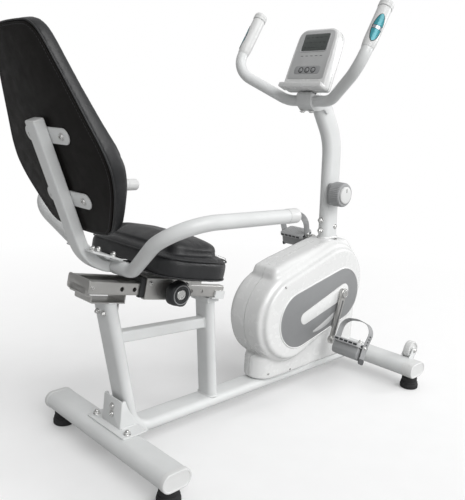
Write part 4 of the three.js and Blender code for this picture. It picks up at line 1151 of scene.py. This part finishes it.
def cover_shell(s):
    """One half of the two-piece cover: drum, raised face, shoulder and skirt moulded as one skin."""
    def place(x, z, y):
        return at(x, s * y, z)

    solids = Build()
    for half, radius, drawn_in in ((59.8, 10, 0), (COVER_FACE, 8, 13)):
        layers = [(g + drawn_in, y) for g, y in rim_layers(half, radius)]
        solids.loft([[(x, z, y) for x, z in band(COVER_REAR, COVER_FRONT, -g, 48)] for g, y in layers], place)
    for corners, half, radius in ((SHOULDER, 48, 14), (SKIRT, 50, 12)):
        outline = softened(corners, 6)
        rings = []
        for g, y in rim_layers(half, radius):
            rings.append([(x, z, y) for x, z in (inset(outline, g) if g else outline)])
        solids.loft(rings, place)
    nose = arc(NOSE_REAR + NOSE_HALF, 0, NOSE_HALF, math.pi / 2, math.pi, 24)
    plan = [(680, -16), (680, NOSE_HALF)] + nose + [(NOSE_REAR, -16)]
    layers = [(0.8, NOSE_LOW), (0, NOSE_LOW + 1.5), (0, NOSE_TOP - 10), (2.6, NOSE_TOP - 3.5), (9, NOSE_TOP)]
    solids.loft([[(x, h, y) for x, y in inset(plan, g)] for g, h in layers], place)
    body = scratch(solids.mesh("cover_half"))
    voxel_skin(body, 2.5, 30, 0.6)
    bm = bmesh.new()
    bm.from_mesh(body.data)
    everything = bm.verts[:] + bm.edges[:] + bm.faces[:]
    seam = (0, s * SEAM_HALF * MM, 0)
    bmesh.ops.bisect_plane(bm, geom=everything, plane_co=seam, plane_no=(0, s, 0), clear_inner=True)
    bm.to_mesh(body.data)
    bm.free()
    wall = body.modifiers.new("wall", "SOLIDIFY")
    wall.thickness = 2.6 * MM
    wall.offset = -1
    apply_modifiers(body)
    mast_line = route([(786, 0, 440, 0), (784, 0, 500, 0)])
    mast_hole = Build().sweep(stadium(MAST_WIDTH + 1.4, MAST_THICK + 1.4), mast_line)
    axle = along(at(CRANK.x, 0, CRANK.z), (0, 1, 0))
    axle_hole = Build().turned([(0, -90), (12, -90), (12, 90), (0, 90)], axle, 40)
    beam_slot = Build().plate([(430, -36), (910, -36), (910, 36), (430, 36)], 70, 82.2, at)
    return carved(taken(body), mast_hole, axle_hole, beam_slot)


def cover():
    face = COVER_FACE
    for side, s in (("left", 1), ("right", -1)):
        def place(x, z, y, s=s):
            return at(x, s * y, z)

        dress(cover_shell(s), f"drive_cover_{side}", "shell", "frame", f"cover_{side}", sharp=60)
        panel = Build().plate(band(INSERT_REAR, INSERT_FRONT, 0, 48), face + 0.1, face + 1.5, place, 0.5)
        gap = Build().plate(band(SLOT_REAR, SLOT_FRONT, 0.4, 24), face - 2, face + 6, place)
        dress(carved(panel.mesh("insert"), gap), f"cover_panel_{side}", "insert", "frame",
              f"cover_insert_{side}", sharp=40)
        swoosh(side, place, face)
        lip = Build()
        rings = []
        for u, v in ((-1.6, 0), (-1.6, 1.8), (-0.9, 2.6), (0.9, 2.6), (2.4, 1.6), (3.4, 0)):
            rings.append([(x, z, face - 0.2 + v) for x, z in band(INSERT_REAR, INSERT_FRONT, 1.8 + u, 60)])
        lip.loft(rings, place, loop=True)
        lip.piece(f"cover_lip_{side}", "shell", "frame", sharp=50)
        bar = Build()
        bar.plate(band(SLOT_REAR, SLOT_FRONT, -0.3, 24), face - 1, face + 2.4, place, 1.4)
        bar.piece(f"cover_slot_{side}", "shell", "frame", sharp=40)
        profile = [(12.3, 1), (19, 1), (19, 2.9), (18, 3.7), (16.6, 3.9), (14, 3.9), (12.3, 3.2)]
        boss = Build().ringed(profile, along(place(CRANK.x, CRANK.z, face), (0, s, 0)), 64)
        boss.piece(f"cover_boss_{side}", "shell", "frame", sharp=40)
        screws = Build()
        for x, z, y, lean in ((521, 362, 75, 0), (592, 92.5, 48, 0), (500, 100, 45.9, 0.29),
                              (850, 102, 50, 0)):
            cross_screw(screws, place(x, z, y - 0.4), (-lean, s, 0), 3.6)
        screws.piece(f"cover_screws_{side}", "bright", "frame")
    collar = Build()
    z = 467.4
    rings = []
    for grow, h in ((1.0, -3), (3.6, -3), (3.8, 2.4), (3.0, 3.6), (1.6, 3.8), (0.9, 3)):
        section = stadium(MAST_THICK + 2 * grow, MAST_WIDTH + 2 * grow)
        rings.append([(784.5 + u, v, z + h) for v, u in section])
    collar.loft(rings, at, loop=True)
    collar.piece("mast_collar", "shell", "frame", sharp=45)


def swoosh(side, place, face):
    """Paler curved flash across the lower half of the panel."""
    upper, lower = [], []
    for i in range(41):
        t = i / 40
        x = 652 + 146 * t
        mid = 206 + 62 * t ** 1.5
        width = 10 * math.sin(math.pi * min(1, 0.06 + t * 0.92)) ** 0.8
        upper.append((x, mid + width))
        lower.append((x, mid - width * 0.9))
    flash = Build().plate(lower + upper[::-1], face + 1.4, face + 1.95, place, 0.2)
    flash.piece(f"cover_flash_{side}", "swoosh", "frame", sharp=40)


# ---------- crankset ----------
def crank_arm(side, s):
    sign = 1 if side == "right" else -1
    away = Vector((-math.sin(CRANK_ANGLE) * sign, 0, -math.cos(CRANK_ANGLE) * sign))
    eye = Vector((CRANK.x, 0, CRANK.z)) + away * PEDAL_REACH
    y0 = ARM_IN * s
    thick = ARM_OUT - ARM_IN

    def place(u, v, c):
        return at(u, y0 + s * c, v)

    arm = Build()
    arm.plate(band((CRANK.x, CRANK.z, 11.5), (eye.x, eye.z, 9.4), 0, 20), 1.0, thick - 0.8, place, 2.4)
    arm.turned([(0, 0), (14.6, 0), (15.6, 1), (15.6, thick - 1), (14.6, thick), (0, thick)],
               along(place(CRANK.x, CRANK.z, 0), (0, s, 0)), 56)
    arm.turned([(0, 0), (12, 0), (13, 1), (13, thick - 1), (12, thick), (0, thick)],
               along(place(eye.x, eye.z, 0), (0, s, 0)), 48)
    arm.piece(f"crank_{side}", "steel", "crank", f"crank_arm_{side}", sharp=35)
    # A dark strip laid on the arm's face stands for the shade inside its groove: painted shade.
    groove_shade = Build()
    near = Vector((CRANK.x, 0, CRANK.z)) + away * 24
    far = Vector((CRANK.x, 0, CRANK.z)) + away * (PEDAL_REACH - 18)
    groove_shade.plate(band((near.x, near.z, 3.4), (far.x, far.z, 2.4), 0, 12), thick - 1.0, thick - 0.5, place,
                 0.2)
    groove_shade.piece(f"crank_groove_{side}", "dark_plastic", "crank")
    cap = Build().turned([(0, thick), (12.4, thick), (12.6, thick + 1.6), (11.6, thick + 3.2), (9, thick + 4),
                          (6.5, thick + 4.1), (6.2, thick + 3.4), (0, thick + 3.4)],
                         along(place(CRANK.x, CRANK.z, 0), (0, s, 0)), 56)
    cap.piece(f"crank_cap_{side}", "bright", "crank", sharp=40)
    reach = PEDAL_OUT - 4 - ARM_IN
    profile = [(0, -1), (7, -1), (7, reach - 3), (6, reach), (0, reach)]
    spindle = Build().turned(profile, along(place(eye.x, eye.z, 0), (0, s, 0)), 40)
    spindle.piece(f"pedal_spindle_{side}", "bright", "crank", sharp=40)


def pedal(side, s):
    sign = 1 if side == "right" else -1
    px = CRANK.x - sign * PEDAL_REACH * math.sin(CRANK_ANGLE)
    pz = CRANK.z - sign * PEDAL_REACH * math.cos(CRANK_ANGLE)
    mid = s * (PEDAL_IN + PEDAL_OUT) / 2
    half_long, half_wide = PEDAL_LENGTH / 2, (PEDAL_OUT - PEDAL_IN) / 2
    c, n = math.cos(PEDAL_TILT[side]), math.sin(PEDAL_TILT[side])
    body = f"pedal_{side}_body"

    def place(u, v, w):
        return at(px + u * c + w * n, mid + s * v, pz - u * n + w * c)

    def on_side(u, w, v):
        return place(u, v, w)

    tread = Build()
    tread.plate(rounded_box(PEDAL_LENGTH - 1, 2 * half_wide - 1, 11, 6), 1.5, 14.5, place, 2.2)
    pitch = 7.4
    for i in range(-4, 5):
        for k in range(-6, 7):
            u, v = i * pitch + (pitch / 2 if k % 2 else 0), k * pitch
            if abs(u) > half_long - 6 or abs(v) > half_wide - 6:
                continue
            stud = ((3.3, 14.2), (1.3, 15.9))
            tread.loft([[(u + a * r, v + b * r, w) for a, b in ((1, 0), (0, 1), (-1, 0), (0, -1))]
                        for r, w in stud], place)
    tread.piece(f"pedal_tread_{side}", "pale_plastic", body, f"pedal_{side}", sharp=25)
    # Dark patches on the pedal's end and side faces stand for the shade inside its pockets: painted shade.
    pocket_shade = Build()
    for way in (1, -1):
        for k in range(-2, 3):
            pocket_shade.plate(rounded_box(13, 6, 2, 3), half_long - 1.2, half_long - 0.2,
                        lambda u, v, w, k=k, way=way: place(way * w, k * 16.4 + u, 8 + v), 0.2)
        for k in range(-1, 2):
            pocket_shade.plate(rounded_box(11, 6, 2, 3), half_wide - 1.2, half_wide - 0.2,
                        lambda u, v, w, k=k, way=way: place(k * 15 + u, way * w, 8 + v), 0.2)
    pocket_shade.piece(f"pedal_pocket_shade_{side}", "black_plastic", body)
    block = softened([(-22, 2, 2), (-24, -18, 9), (-16, -34, 11), (16, -34, 11), (24, -18, 9), (22, 2, 2)], 6)
    weight = Build().plate(block, 3.5 - half_wide, half_wide - 3.5, on_side, 3.2)
    weight.piece(f"pedal_weight_{side}", "grey_plastic", body, sharp=35)
    cap = Build().turned([(0, 0), (9, 0), (9.4, 2), (8, 4.4), (4, 5.4), (0, 5.6)],
                         along(at(px, s * (PEDAL_OUT - 4), pz), (0, s, 0)), 40)
    cap.piece(f"pedal_end_cap_{side}", "black_plastic", body, sharp=40)
    strap(side, place, half_wide, body)


def strap(side, place, half_wide, body):
    """Foot strap riveted inside, arched over the tread, its free end hanging below the outer edge."""
    reach = half_wide + 1.6
    path = route([(0, -reach, 3, 0), (0, -reach - 2, 74, 34), (0, 0, 82, 60), (0, reach + 7, 74, 34),
                  (0, reach + 1, 10, 30), (0, reach + 4, -32, 0)], (1, 0, 0))
    frames = []
    for point, across, up in path:
        spot, beside, above = (in_bike(place(*q)) for q in (point, point + across, point + up))
        frames.append((spot, beside - spot, above - spot))
    ribbon = Build().sweep(rounded_box(25, 2.0, 0.9, 3), frames)
    ribbon.piece(f"foot_strap_{side}", "grey_plastic", body, f"pedal_strap_{side}", sharp=40)
    out = place(0, 1, 0) - place(0, 0, 0)
    # Dark ovals on the strap's outer leg stand for the shade seen through its adjustment holes: painted
    # shade.
    hole_shade = Build()
    for k in range(7):
        w = 44 - 9 * k
        bulge = reach + 1.2 + 3.4 * max(0.0, (w - 10) / 34) + 1.6 * max(0.0, (10 - w) / 42)
        oval = rounded_box(9, 3.4, 1.6, 4)
        hole_shade.plate(oval, bulge - 0.4, bulge + 0.9, lambda u, v, c, w=w: place(u, c, w + v))
    hole_shade.piece(f"strap_hole_shade_{side}", "black_plastic", body)
    rivets = Build()
    button_head(rivets, place(0, -reach - 1.0, 9), -out, 5.0, 2.2)
    button_head(rivets, place(0, reach + 1.6, 6), out, 5.0, 2.2)
    rivets.piece(f"strap_rivets_{side}", "bright", body)
    tip = Build().plate(rounded_box(27, 16, 6, 5), reach + 3.0, reach + 6.4,
                        lambda u, v, c: place(u, c, v - 34), 0.9)
    tip.piece(f"strap_tip_{side}", "dark_plastic", body, sharp=40)


def crankset():
    for side, s in (("right", -1), ("left", 1)):
        crank_arm(side, s)
        pedal(side, s)
    keep(["crank_axle", "magnet_arm"], "steel")
    keep(["crank_pulley"], "black_plastic")
    keep(["flywheel"], "cast_iron")
    keep(["drive_belt"], "rubber")
    keep(["drive_frame"], "paint")


# ---------- mast ----------
def mast():
    corners = [(784.5, 0, 467, 0), (774, 0, 766, 170), (706, 0, 873, 0)]
    path = route(corners, (0, 1, 0), math.radians(4))
    Build().sweep(stadium(MAST_THICK, MAST_WIDTH), path).piece("mast_tube", "paint", "frame", "mast",
                                                               sharp=50)
    bolts = Build()
    for z in (522, 490):
        dome_nut(bolts, at(784.5 - 33.4 - (z - 467) * 0.035, 0, z), (-1, 0, 0), 9.0)
    for s in (1, -1):
        button_head(bolts, at(797, s * 17.9, 501), (0, s, 0), 6.0, 3.2)
    bolts.piece("mast_bolts", "bright", "frame")
    tension_control()


def tension_control():
    def place(u, v, c):
        return at(KNOB.x + 6 + u, c, KNOB.z - 1 + v)

    base = Build().plate(rounded_box(60, 66, 11, 7), -30.4, -18.2, place, 2.6)
    base.piece("tension_housing", "grey_plastic", "frame", "tension_base", sharp=40)
    hub = along(at(KNOB.x, -31, KNOB.z), (0, -1, 0))
    knob = Build()
    knob.turned([(0, 0), (34, 0), (36.4, 1.4), (37, 4, 0.4), (36.8, 6, 1.4), (36.2, 30, 1.4),
                 (35.2, 33.4, 0.8),
                 (33, 35.6), (29, 36.4), (26.6, 36.2), (26.2, 35.2), (0, 35.2)], hub, 240, 40)
    knob.piece("tension_dial", "grey_plastic", "tension", "tension_knob", sharp=30)
    cap = Build().turned([(0, 35.3), (25.6, 35.3), (25.8, 38.6), (24.6, 40.4), (21, 41.4), (10, 42),
                          (0, 42)], hub, 72)
    cap.piece("tension_cap", "white_plastic", "tension", sharp=40)
    mark = Build().plate(rounded_box(3, 12, 1.4, 4), 41.2, 42.2, lambda u, v, c: hub(u, v + 13, c), 0.2)
    mark.piece("tension_mark", "dark_plastic", "tension")


# ---------- handlebar ----------
def bar_point(t, s):
    x = BAR_BEND[0] + (BAR_TIP[0] - BAR_BEND[0]) * t
    z = BAR_BEND[1] + (BAR_TIP[1] - BAR_BEND[1]) * t
    return Vector((x, s * BAR_Y, z))


def handlebar():
    end_left, end_right = bar_point(0.92, 1), bar_point(0.92, -1)
    path = route([(*end_right, 0), (BAR_BEND[0], -BAR_Y, BAR_BEND[1], 62),
                  (BAR_CENTRE[0], -78, BAR_CENTRE[1], 70),
                  (BAR_CENTRE[0], 78, BAR_CENTRE[1], 70), (BAR_BEND[0], BAR_Y, BAR_BEND[1], 62),
                  (*end_left, 0)],
                 (0, 0, 1))
    Build().sweep(circle(15.5, 36), path).piece("handlebar_tube", "paint", "frame", "handlebar", sharp=50)
    for side, s in (("left", 1), ("right", -1)):
        start, tip = bar_point(0.36, s), bar_point(1.0, s)
        aim = (tip - start).normalized()
        length = (tip - start).length
        place = along(at(*start), aim, (0, 1, 0))
        sleeve = [(15.7, -14), (15.9, -14), (16.3, -12.6), (17.3, -4), (18.0, 4), (18.2, 12),
                  (18.2, length - 24),
                  (17.8, length - 22.6), (17.8, length - 21), (15.7, length - 21)]
        grip = Build().ringed(sleeve, place)
        grip.piece(f"grip_sleeve_{side}", "white_plastic", "frame", f"grip_{side}", sharp=35)
        cap = [(0, length - 20.6), (15, length - 20.6), (18.8, length - 20.6), (19.4, length - 19.6),
               (19.4, length - 16),
               (18.9, length - 15), (18.9, length - 14), (19.4, length - 13), (19.4, length - 9),
               (18.6, length - 4.4), (16.2, length - 1.4), (11, length - 0.2), (0.0, length)]
        Build().turned(cap, place, 48).piece(f"grip_cap_{side}", "white_plastic", "frame", sharp=35)
        pulse_sensor(side, s, place, length)
    bar_bracket()


def pulse_sensor(side, s, place, length):
    """Lens-shaped hand sensor let into the sleeve: dark rim, two films and a bare band between them."""
    mid = length - SENSOR_FROM_TIP
    facing = s * SENSOR_FACING
    rim = Build()
    wrap_patch(rim, place, facing, mid, (-1, 1), 17.6, 18.7, SENSOR_LONG / 2 + 2, SENSOR_WIDE / 2 + 2)
    rim.piece(f"sensor_rim_{side}", "black_plastic", "frame", sharp=60)
    for part, reach, look in (("lower", (-1, -0.14), "teal"), ("middle", (-0.11, 0.11), "sensor_steel"),
                              ("upper", (0.14, 1), "teal")):
        film = Build()
        wrap_patch(film, place, facing, mid, reach, 17.8, 19.1, SENSOR_LONG / 2, SENSOR_WIDE / 2)
        film.piece(f"sensor_{part}_{side}", look, "frame", sharp=60)


def wrap_patch(build, place, facing, mid, reach, inner, outer, half_length, half_width, count=9, rows=20):
    """Part of a lens wrapped round a sleeve, from radius inner to outer; reach is its share of the length."""
    start, end = reach
    rings = []
    for i in range(rows + 1):
        t = start + (end - start) * i / rows
        width = half_width * max(0.0, 1 - t * t) ** 0.6 + 0.02
        turns = [facing + width * (2 * k / (count - 1) - 1) / outer for k in range(count)]
        ring = []
        for radius, angles in ((outer, turns), (inner, turns[::-1])):
            ring += [(radius * math.cos(a), radius * math.sin(a), mid + half_length * t) for a in angles]
        rings.append(ring)
    build.loft(rings, place)


def bar_bracket():
    head = softened([(722, 846, 4), (700, 872, 8), (668, 901, 10), (640, 904, 8), (628, 892, 6),
                     (630, 862, 8), (648, 846, 8),
                     (672, 846, 4), (694, 852, 6), (712, 838, 4)])
    body = Build().plate(head, -26, 26, lambda u, v, c: at(u, c, v), 2.2)
    bore = Build().turned([(0, -70), (15.7, -70), (15.7, 70), (0, 70)],
                          along(at(BAR_CENTRE[0], 0, BAR_CENTRE[1]), (0, 1, 0)), 48)
    mast_line = route([(774, 0, 766, 0), (705, 0, 874.6, 0)])
    mast_cut = Build().sweep(stadium(MAST_THICK + 0.6, MAST_WIDTH + 0.6), mast_line)
    box_cut = Build().plate([(-30, -90), (38.6, -90), (38.6, 90), (-30, 90)], -0.6, 220, on_console)
    dress(carved(body.mesh("head"), bore, mast_cut, box_cut), "bar_clamp", "paint", "frame",
          "handlebar_bracket", sharp=40)
    bolts = Build()
    for y in (16, -16):
        button_head(bolts, at(BAR_CENTRE[0] - 4, y, 845.2), (0, 0, -1), 6.5, 3.4)
    for s in (1, -1):
        button_head(bolts, at(684, s * 26.1, 873), (0, s, 0), 5.5, 3.0)
    bolts.piece("bar_clamp_bolts", "bright", "frame")


# ---------- console ----------
def console():
    def face(u, v, c):
        return on_console(-c, u, v)

    out = face(0, 0, 1) - face(0, 0, 0)
    buttons = [along(face(y, BUTTON_V, 0), out) for y in BUTTON_Y]

    def wells(radius, depth):
        """Round cutters where the three buttons sit."""
        profile = [(0, -depth), (radius, -depth), (radius, depth), (0, depth)]
        return [Build().turned(profile, place, 40) for place in buttons]

    outline = softened([(-76, 3, 10), (76, 3, 10), (73.5, 100, 60), (69, 181, 34), (-69, 181, 34),
                        (-73.5, 100, 60)], 8)
    layers = [(7, -38), (2.6, -36.8), (0.8, -34), (0, -30), (0, -7), (0.8, -3.4), (2.4, -1.2), (5, 0)]
    rings = [[(u, v, c) for u, v in (inset(outline, g) if g else outline)] for g, c in layers]
    shell = Build().loft(rings, face).mesh("console")
    dress(carved(shell, *wells(6.5, 10)), "console_case", "shell", "frame", "console_shell", sharp=45)
    seam = Build()
    path = [tuple(in_bike(face(u, v, -24))) for u, v in inset(outline, 0.25)]
    seam.rope(path, 0.55, out, 6)
    seam.piece("console_seam", "dark_plastic", "frame")
    ledge = Build().plate(rounded_box(153, 14, 4, 4), -14, 15.5, lambda u, v, c: face(u, v + 8, c), 1.8)
    ledge.piece("console_ledge", "shell", "frame", sharp=40)
    border = softened([(-65, 30, 8), (65, 30, 8), (62, 174, 24), (-62, 174, 24)], 6)
    panel = Build().plate(border, -0.2, 0.9, face, 0.4).mesh("panel")
    dress(carved(panel, *wells(BUTTON_HOLE, 4)), "console_panel", "swoosh", "frame", sharp=40)
    rim = Build()
    rings = []
    for grow, c in ((0, 0.6), (0, 1.5), (0.7, 2.0), (2.6, 2.0), (3.2, 1.4), (3.2, 0.6)):
        border = rounded_box(90 + 2 * grow, 50 + 2 * grow, 4 + grow, 6)
        rings.append([(u, v + SCREEN_V, c) for u, v in border])
    rim.loft(rings, face, loop=True)
    rim.piece("screen_rim", "pale_plastic", "frame", sharp=45)
    glass = Build().plate(rounded_box(89.6, 49.6, 3.6, 6), 0.6, 1.5,
                          lambda u, v, c: face(u, v + SCREEN_V, c), 0.2)
    glass.piece("screen_glass", "screen", "frame", sharp=40)
    bars = Build()
    for row, v in enumerate((SCREEN_V + 15, SCREEN_V, SCREEN_V - 15)):
        for column in range(5):
            u = -32 + column * 16
            width = 10 if (row + column) % 3 else 6
            bars.plate(rounded_box(width, 2.0, 0.5, 2), 1.45, 1.6,
                       lambda a, b, c, u=u, v=v: face(a + u, b + v, c))
    bars.piece("screen_segments", "segments", "frame")
    dashes = Build()
    for k in range(-2, 3):
        dashes.plate(rounded_box(9, 1.6, 0.6, 2), 0.85, 1.1, lambda a, b, c, k=k: face(a + k * 17, b + 98, c))
    dashes.piece("panel_dashes", "dark_plastic", "frame")
    border = softened([(-46, 44, 9), (46, 44, 9), (46, 68, 9), (-46, 68, 9)], 5)
    bar = Build().plate(border, 0.7, 1.2, face, 0.2).mesh("button_bar")
    dress(carved(bar, *wells(BUTTON_HOLE, 4)), "button_bar", "grey_plastic", "frame", sharp=40)
    collars = Build()
    for place in buttons:
        collars.ringed(((6.6, 0.9), (6.6, 1.8), (7.2, 2.1), (8.2, 1.7), (8.6, 0.9)), place, 40)
    collars.piece("button_collars", "black_plastic", "frame", sharp=45)
    for i, place in enumerate(buttons):
        cap = Build().turned([(0, -6), (5.9, -6), (5.9, 1.4), (5.3, 2.2), (3.6, 2.7), (0, 2.9)], place, 40)
        cap.piece(f"button_cap_{i + 1}", "grey_plastic", f"button_{i + 1}", f"console_button_{i + 1}",
                  sharp=40)
    screws = Build()
    back = face(0, 0, -1) - face(0, 0, 0)
    for u, v in ((-58, 20), (58, 20), (-54, 154), (54, 154)):
        cross_screw(screws, face(u, v, -37.6), back, 3.6)
    screws.piece("console_screws", "bright", "frame")
    leads()


def leads():
    """Short held leads between the console's back, the clamp and the mast."""
    def spot(a, y, v):
        return in_bike(on_console(a, y, v))

    for name, y, drop in (("signal_lead", 9, 0), ("sensor_lead", -9, 4)):
        start = spot(37, y, 52)
        points = [start, spot(47 + drop, y, 48), spot(52 + drop, y * 1.2, 34), spot(50, y * 1.3, 18),
                  Vector((690, y * 1.2, 886))]
        stations = [(*p, 7) for p in points]
        path = route(stations, (0, 1, 0), math.radians(12))
        Build().sweep(circle(2.0, 12), path).piece(name, "rubber", "frame", sharp=60)
    grommet = Build()
    axis = on_console(1, 0, 0) - on_console(0, 0, 0)
    grommet.turned([(0, 0), (15, 0), (15, 1.6), (13, 3.2), (0, 3.4)], along(on_console(37.6, 0, 52), axis),
                   40)
    grommet.piece("lead_grommet", "black_plastic", "frame", sharp=40)


# ---------- studio ----------
def studio():
    """White studio: a pale floor that brightens into the backdrop, and soft light from the right."""
    world = bpy.data.worlds.new("studio")
    world.use_nodes = True
    tree = world.node_tree
    backdrop = tree.nodes["Background"]
    heading = tree.nodes.new("ShaderNodeTexCoord").outputs["Generated"]
    facing = node(tree, "ShaderNodeVectorMath", operation="DOT_PRODUCT")
    facing.inputs[1].default_value = SOFT_LIGHT_FROM
    tree.links.new(heading, facing.inputs[0])
    tree.links.new(spread(tree, facing.outputs["Value"], 0.1, 0.72, -1, 1), backdrop.inputs["Strength"])
    backdrop.inputs["Color"].default_value = (1.0, 1.0, 1.0, 1.0)
    seen = node(tree, "ShaderNodeBackground", Color=(1.0, 1.0, 1.0, 1.0), Strength=1.0)
    either = tree.nodes.new("ShaderNodeMixShader")
    path = tree.nodes.new("ShaderNodeLightPath")
    tree.links.new(path.outputs["Is Camera Ray"], either.inputs["Fac"])
    tree.links.new(backdrop.outputs["Background"], either.inputs[1])
    tree.links.new(seen.outputs["Background"], either.inputs[2])
    tree.links.new(either.outputs["Shader"], tree.nodes["World Output"].inputs["Surface"])
    bpy.context.scene.world = world
    floor_mesh = bpy.data.meshes.new("floor")
    rim = arc(0, 0, FLOOR_REACH, 0, 2 * math.pi, 96)[:-1]
    floor_mesh.from_pydata([(x, y, -0.0005) for x, y in rim], [], [tuple(range(len(rim)))])
    floor = bpy.data.objects.new("floor", floor_mesh)
    bpy.context.scene.collection.objects.link(floor)
    floor_mesh.materials.append(floor_material())
    sun = bpy.data.lights.new("overhead", "SUN")
    sun.energy = 1.9
    sun.angle = math.radians(48)
    overhead = bpy.data.objects.new("overhead", sun)
    overhead.rotation_mode = "QUATERNION"
    overhead.rotation_quaternion = Vector((0.12, 0.78, -0.6)).to_track_quat("-Z", "Y")
    bpy.context.scene.collection.objects.link(overhead)
    lamp("side", (2.6, -1.6, 1.5), 20, 0.9)


def floor_material():
    material = finish("studio_floor", (0.93, 0.93, 0.93), 0.8, mottle=0.01, depth=0.02)
    tree = material.node_tree
    place = tree.nodes.new("ShaderNodeTexCoord").outputs["Object"]
    distance = node(tree, "ShaderNodeVectorMath", operation="LENGTH")
    tree.links.new(place, distance.inputs[0])
    fade = tree.nodes.new("ShaderNodeMixShader")
    seen = tree.nodes.new("ShaderNodeLightPath").outputs["Is Camera Ray"]
    shown = node(tree, "ShaderNodeMath", operation="MULTIPLY")
    tree.links.new(spread(tree, distance.outputs["Value"], 0.12, 1, 0.5, 2.4), shown.inputs[0])
    tree.links.new(seen, shown.inputs[1])
    tree.links.new(shown.outputs["Value"], fade.inputs["Fac"])
    base = tree.nodes["Principled BSDF"].inputs["Base Color"]
    pale = base.links[0].from_socket
    tree.links.new(blend_colours(tree, seen, tint((0.5, 0.5, 0.5), 1), pale), base)
    glow = node(tree, "ShaderNodeEmission", Color=(1.0, 1.0, 1.0, 1.0), Strength=1.0)
    tree.links.new(tree.nodes["Principled BSDF"].outputs["BSDF"], fade.inputs[1])
    tree.links.new(glow.outputs["Emission"], fade.inputs[2])
    tree.links.new(fade.outputs["Shader"], tree.nodes["Material Output"].inputs["Surface"])
    return material


def lamp(name, where, power, size):
    light = bpy.data.lights.new(name, "AREA")
    light.energy = power
    light.shape = "DISK"
    light.size = size
    obj = bpy.data.objects.new(name, light)
    obj.location = where
    obj.rotation_mode = "QUATERNION"
    aim = Vector((0, 0, 0.5)) - obj.location
    obj.rotation_quaternion = aim.to_track_quat("-Z", "Y")
    bpy.context.scene.collection.objects.link(obj)


def camera():
    heading, pitch, roll = math.radians(46.305), math.radians(12.376), math.radians(2.481)
    ahead = Vector((math.cos(heading), math.sin(heading), 0))
    right = Vector((math.sin(heading), -math.cos(heading), 0))
    world_up = Vector((0, 0, 1))
    look = ahead * math.cos(pitch) - world_up * math.sin(pitch)
    up = ahead * math.sin(pitch) + world_up * math.cos(pitch)
    tilted_right = right * math.cos(roll) + up * math.sin(roll)
    tilted_up = up * math.cos(roll) - right * math.sin(roll)
    data = bpy.data.cameras.new("camera")
    data.lens = 45.42
    data.sensor_width = 36
    data.clip_start, data.clip_end = 0.05, 100
    obj = bpy.data.objects.new("camera", data)
    rotation = Matrix((tilted_right, tilted_up, -look)).transposed().to_4x4()
    obj.matrix_world = Matrix.Translation(at(-762.3, -1195.2, 835.6)) @ rotation
    bpy.context.scene.collection.objects.link(obj)
    bpy.context.scene.camera = obj


bpy.context.scene.view_settings.view_transform = "Standard"
camera()
studio()
stabilisers()
feet()
main_frame()
foot_bracket()
saddle()
rail()
carriage()
lock_knob()
seat_structure()
side_handles()
handle_plate()
back_cushion()
seat_cushion()
cover()
crankset()
mast()
handlebar()
console()

bpy.context.view_layer.update()
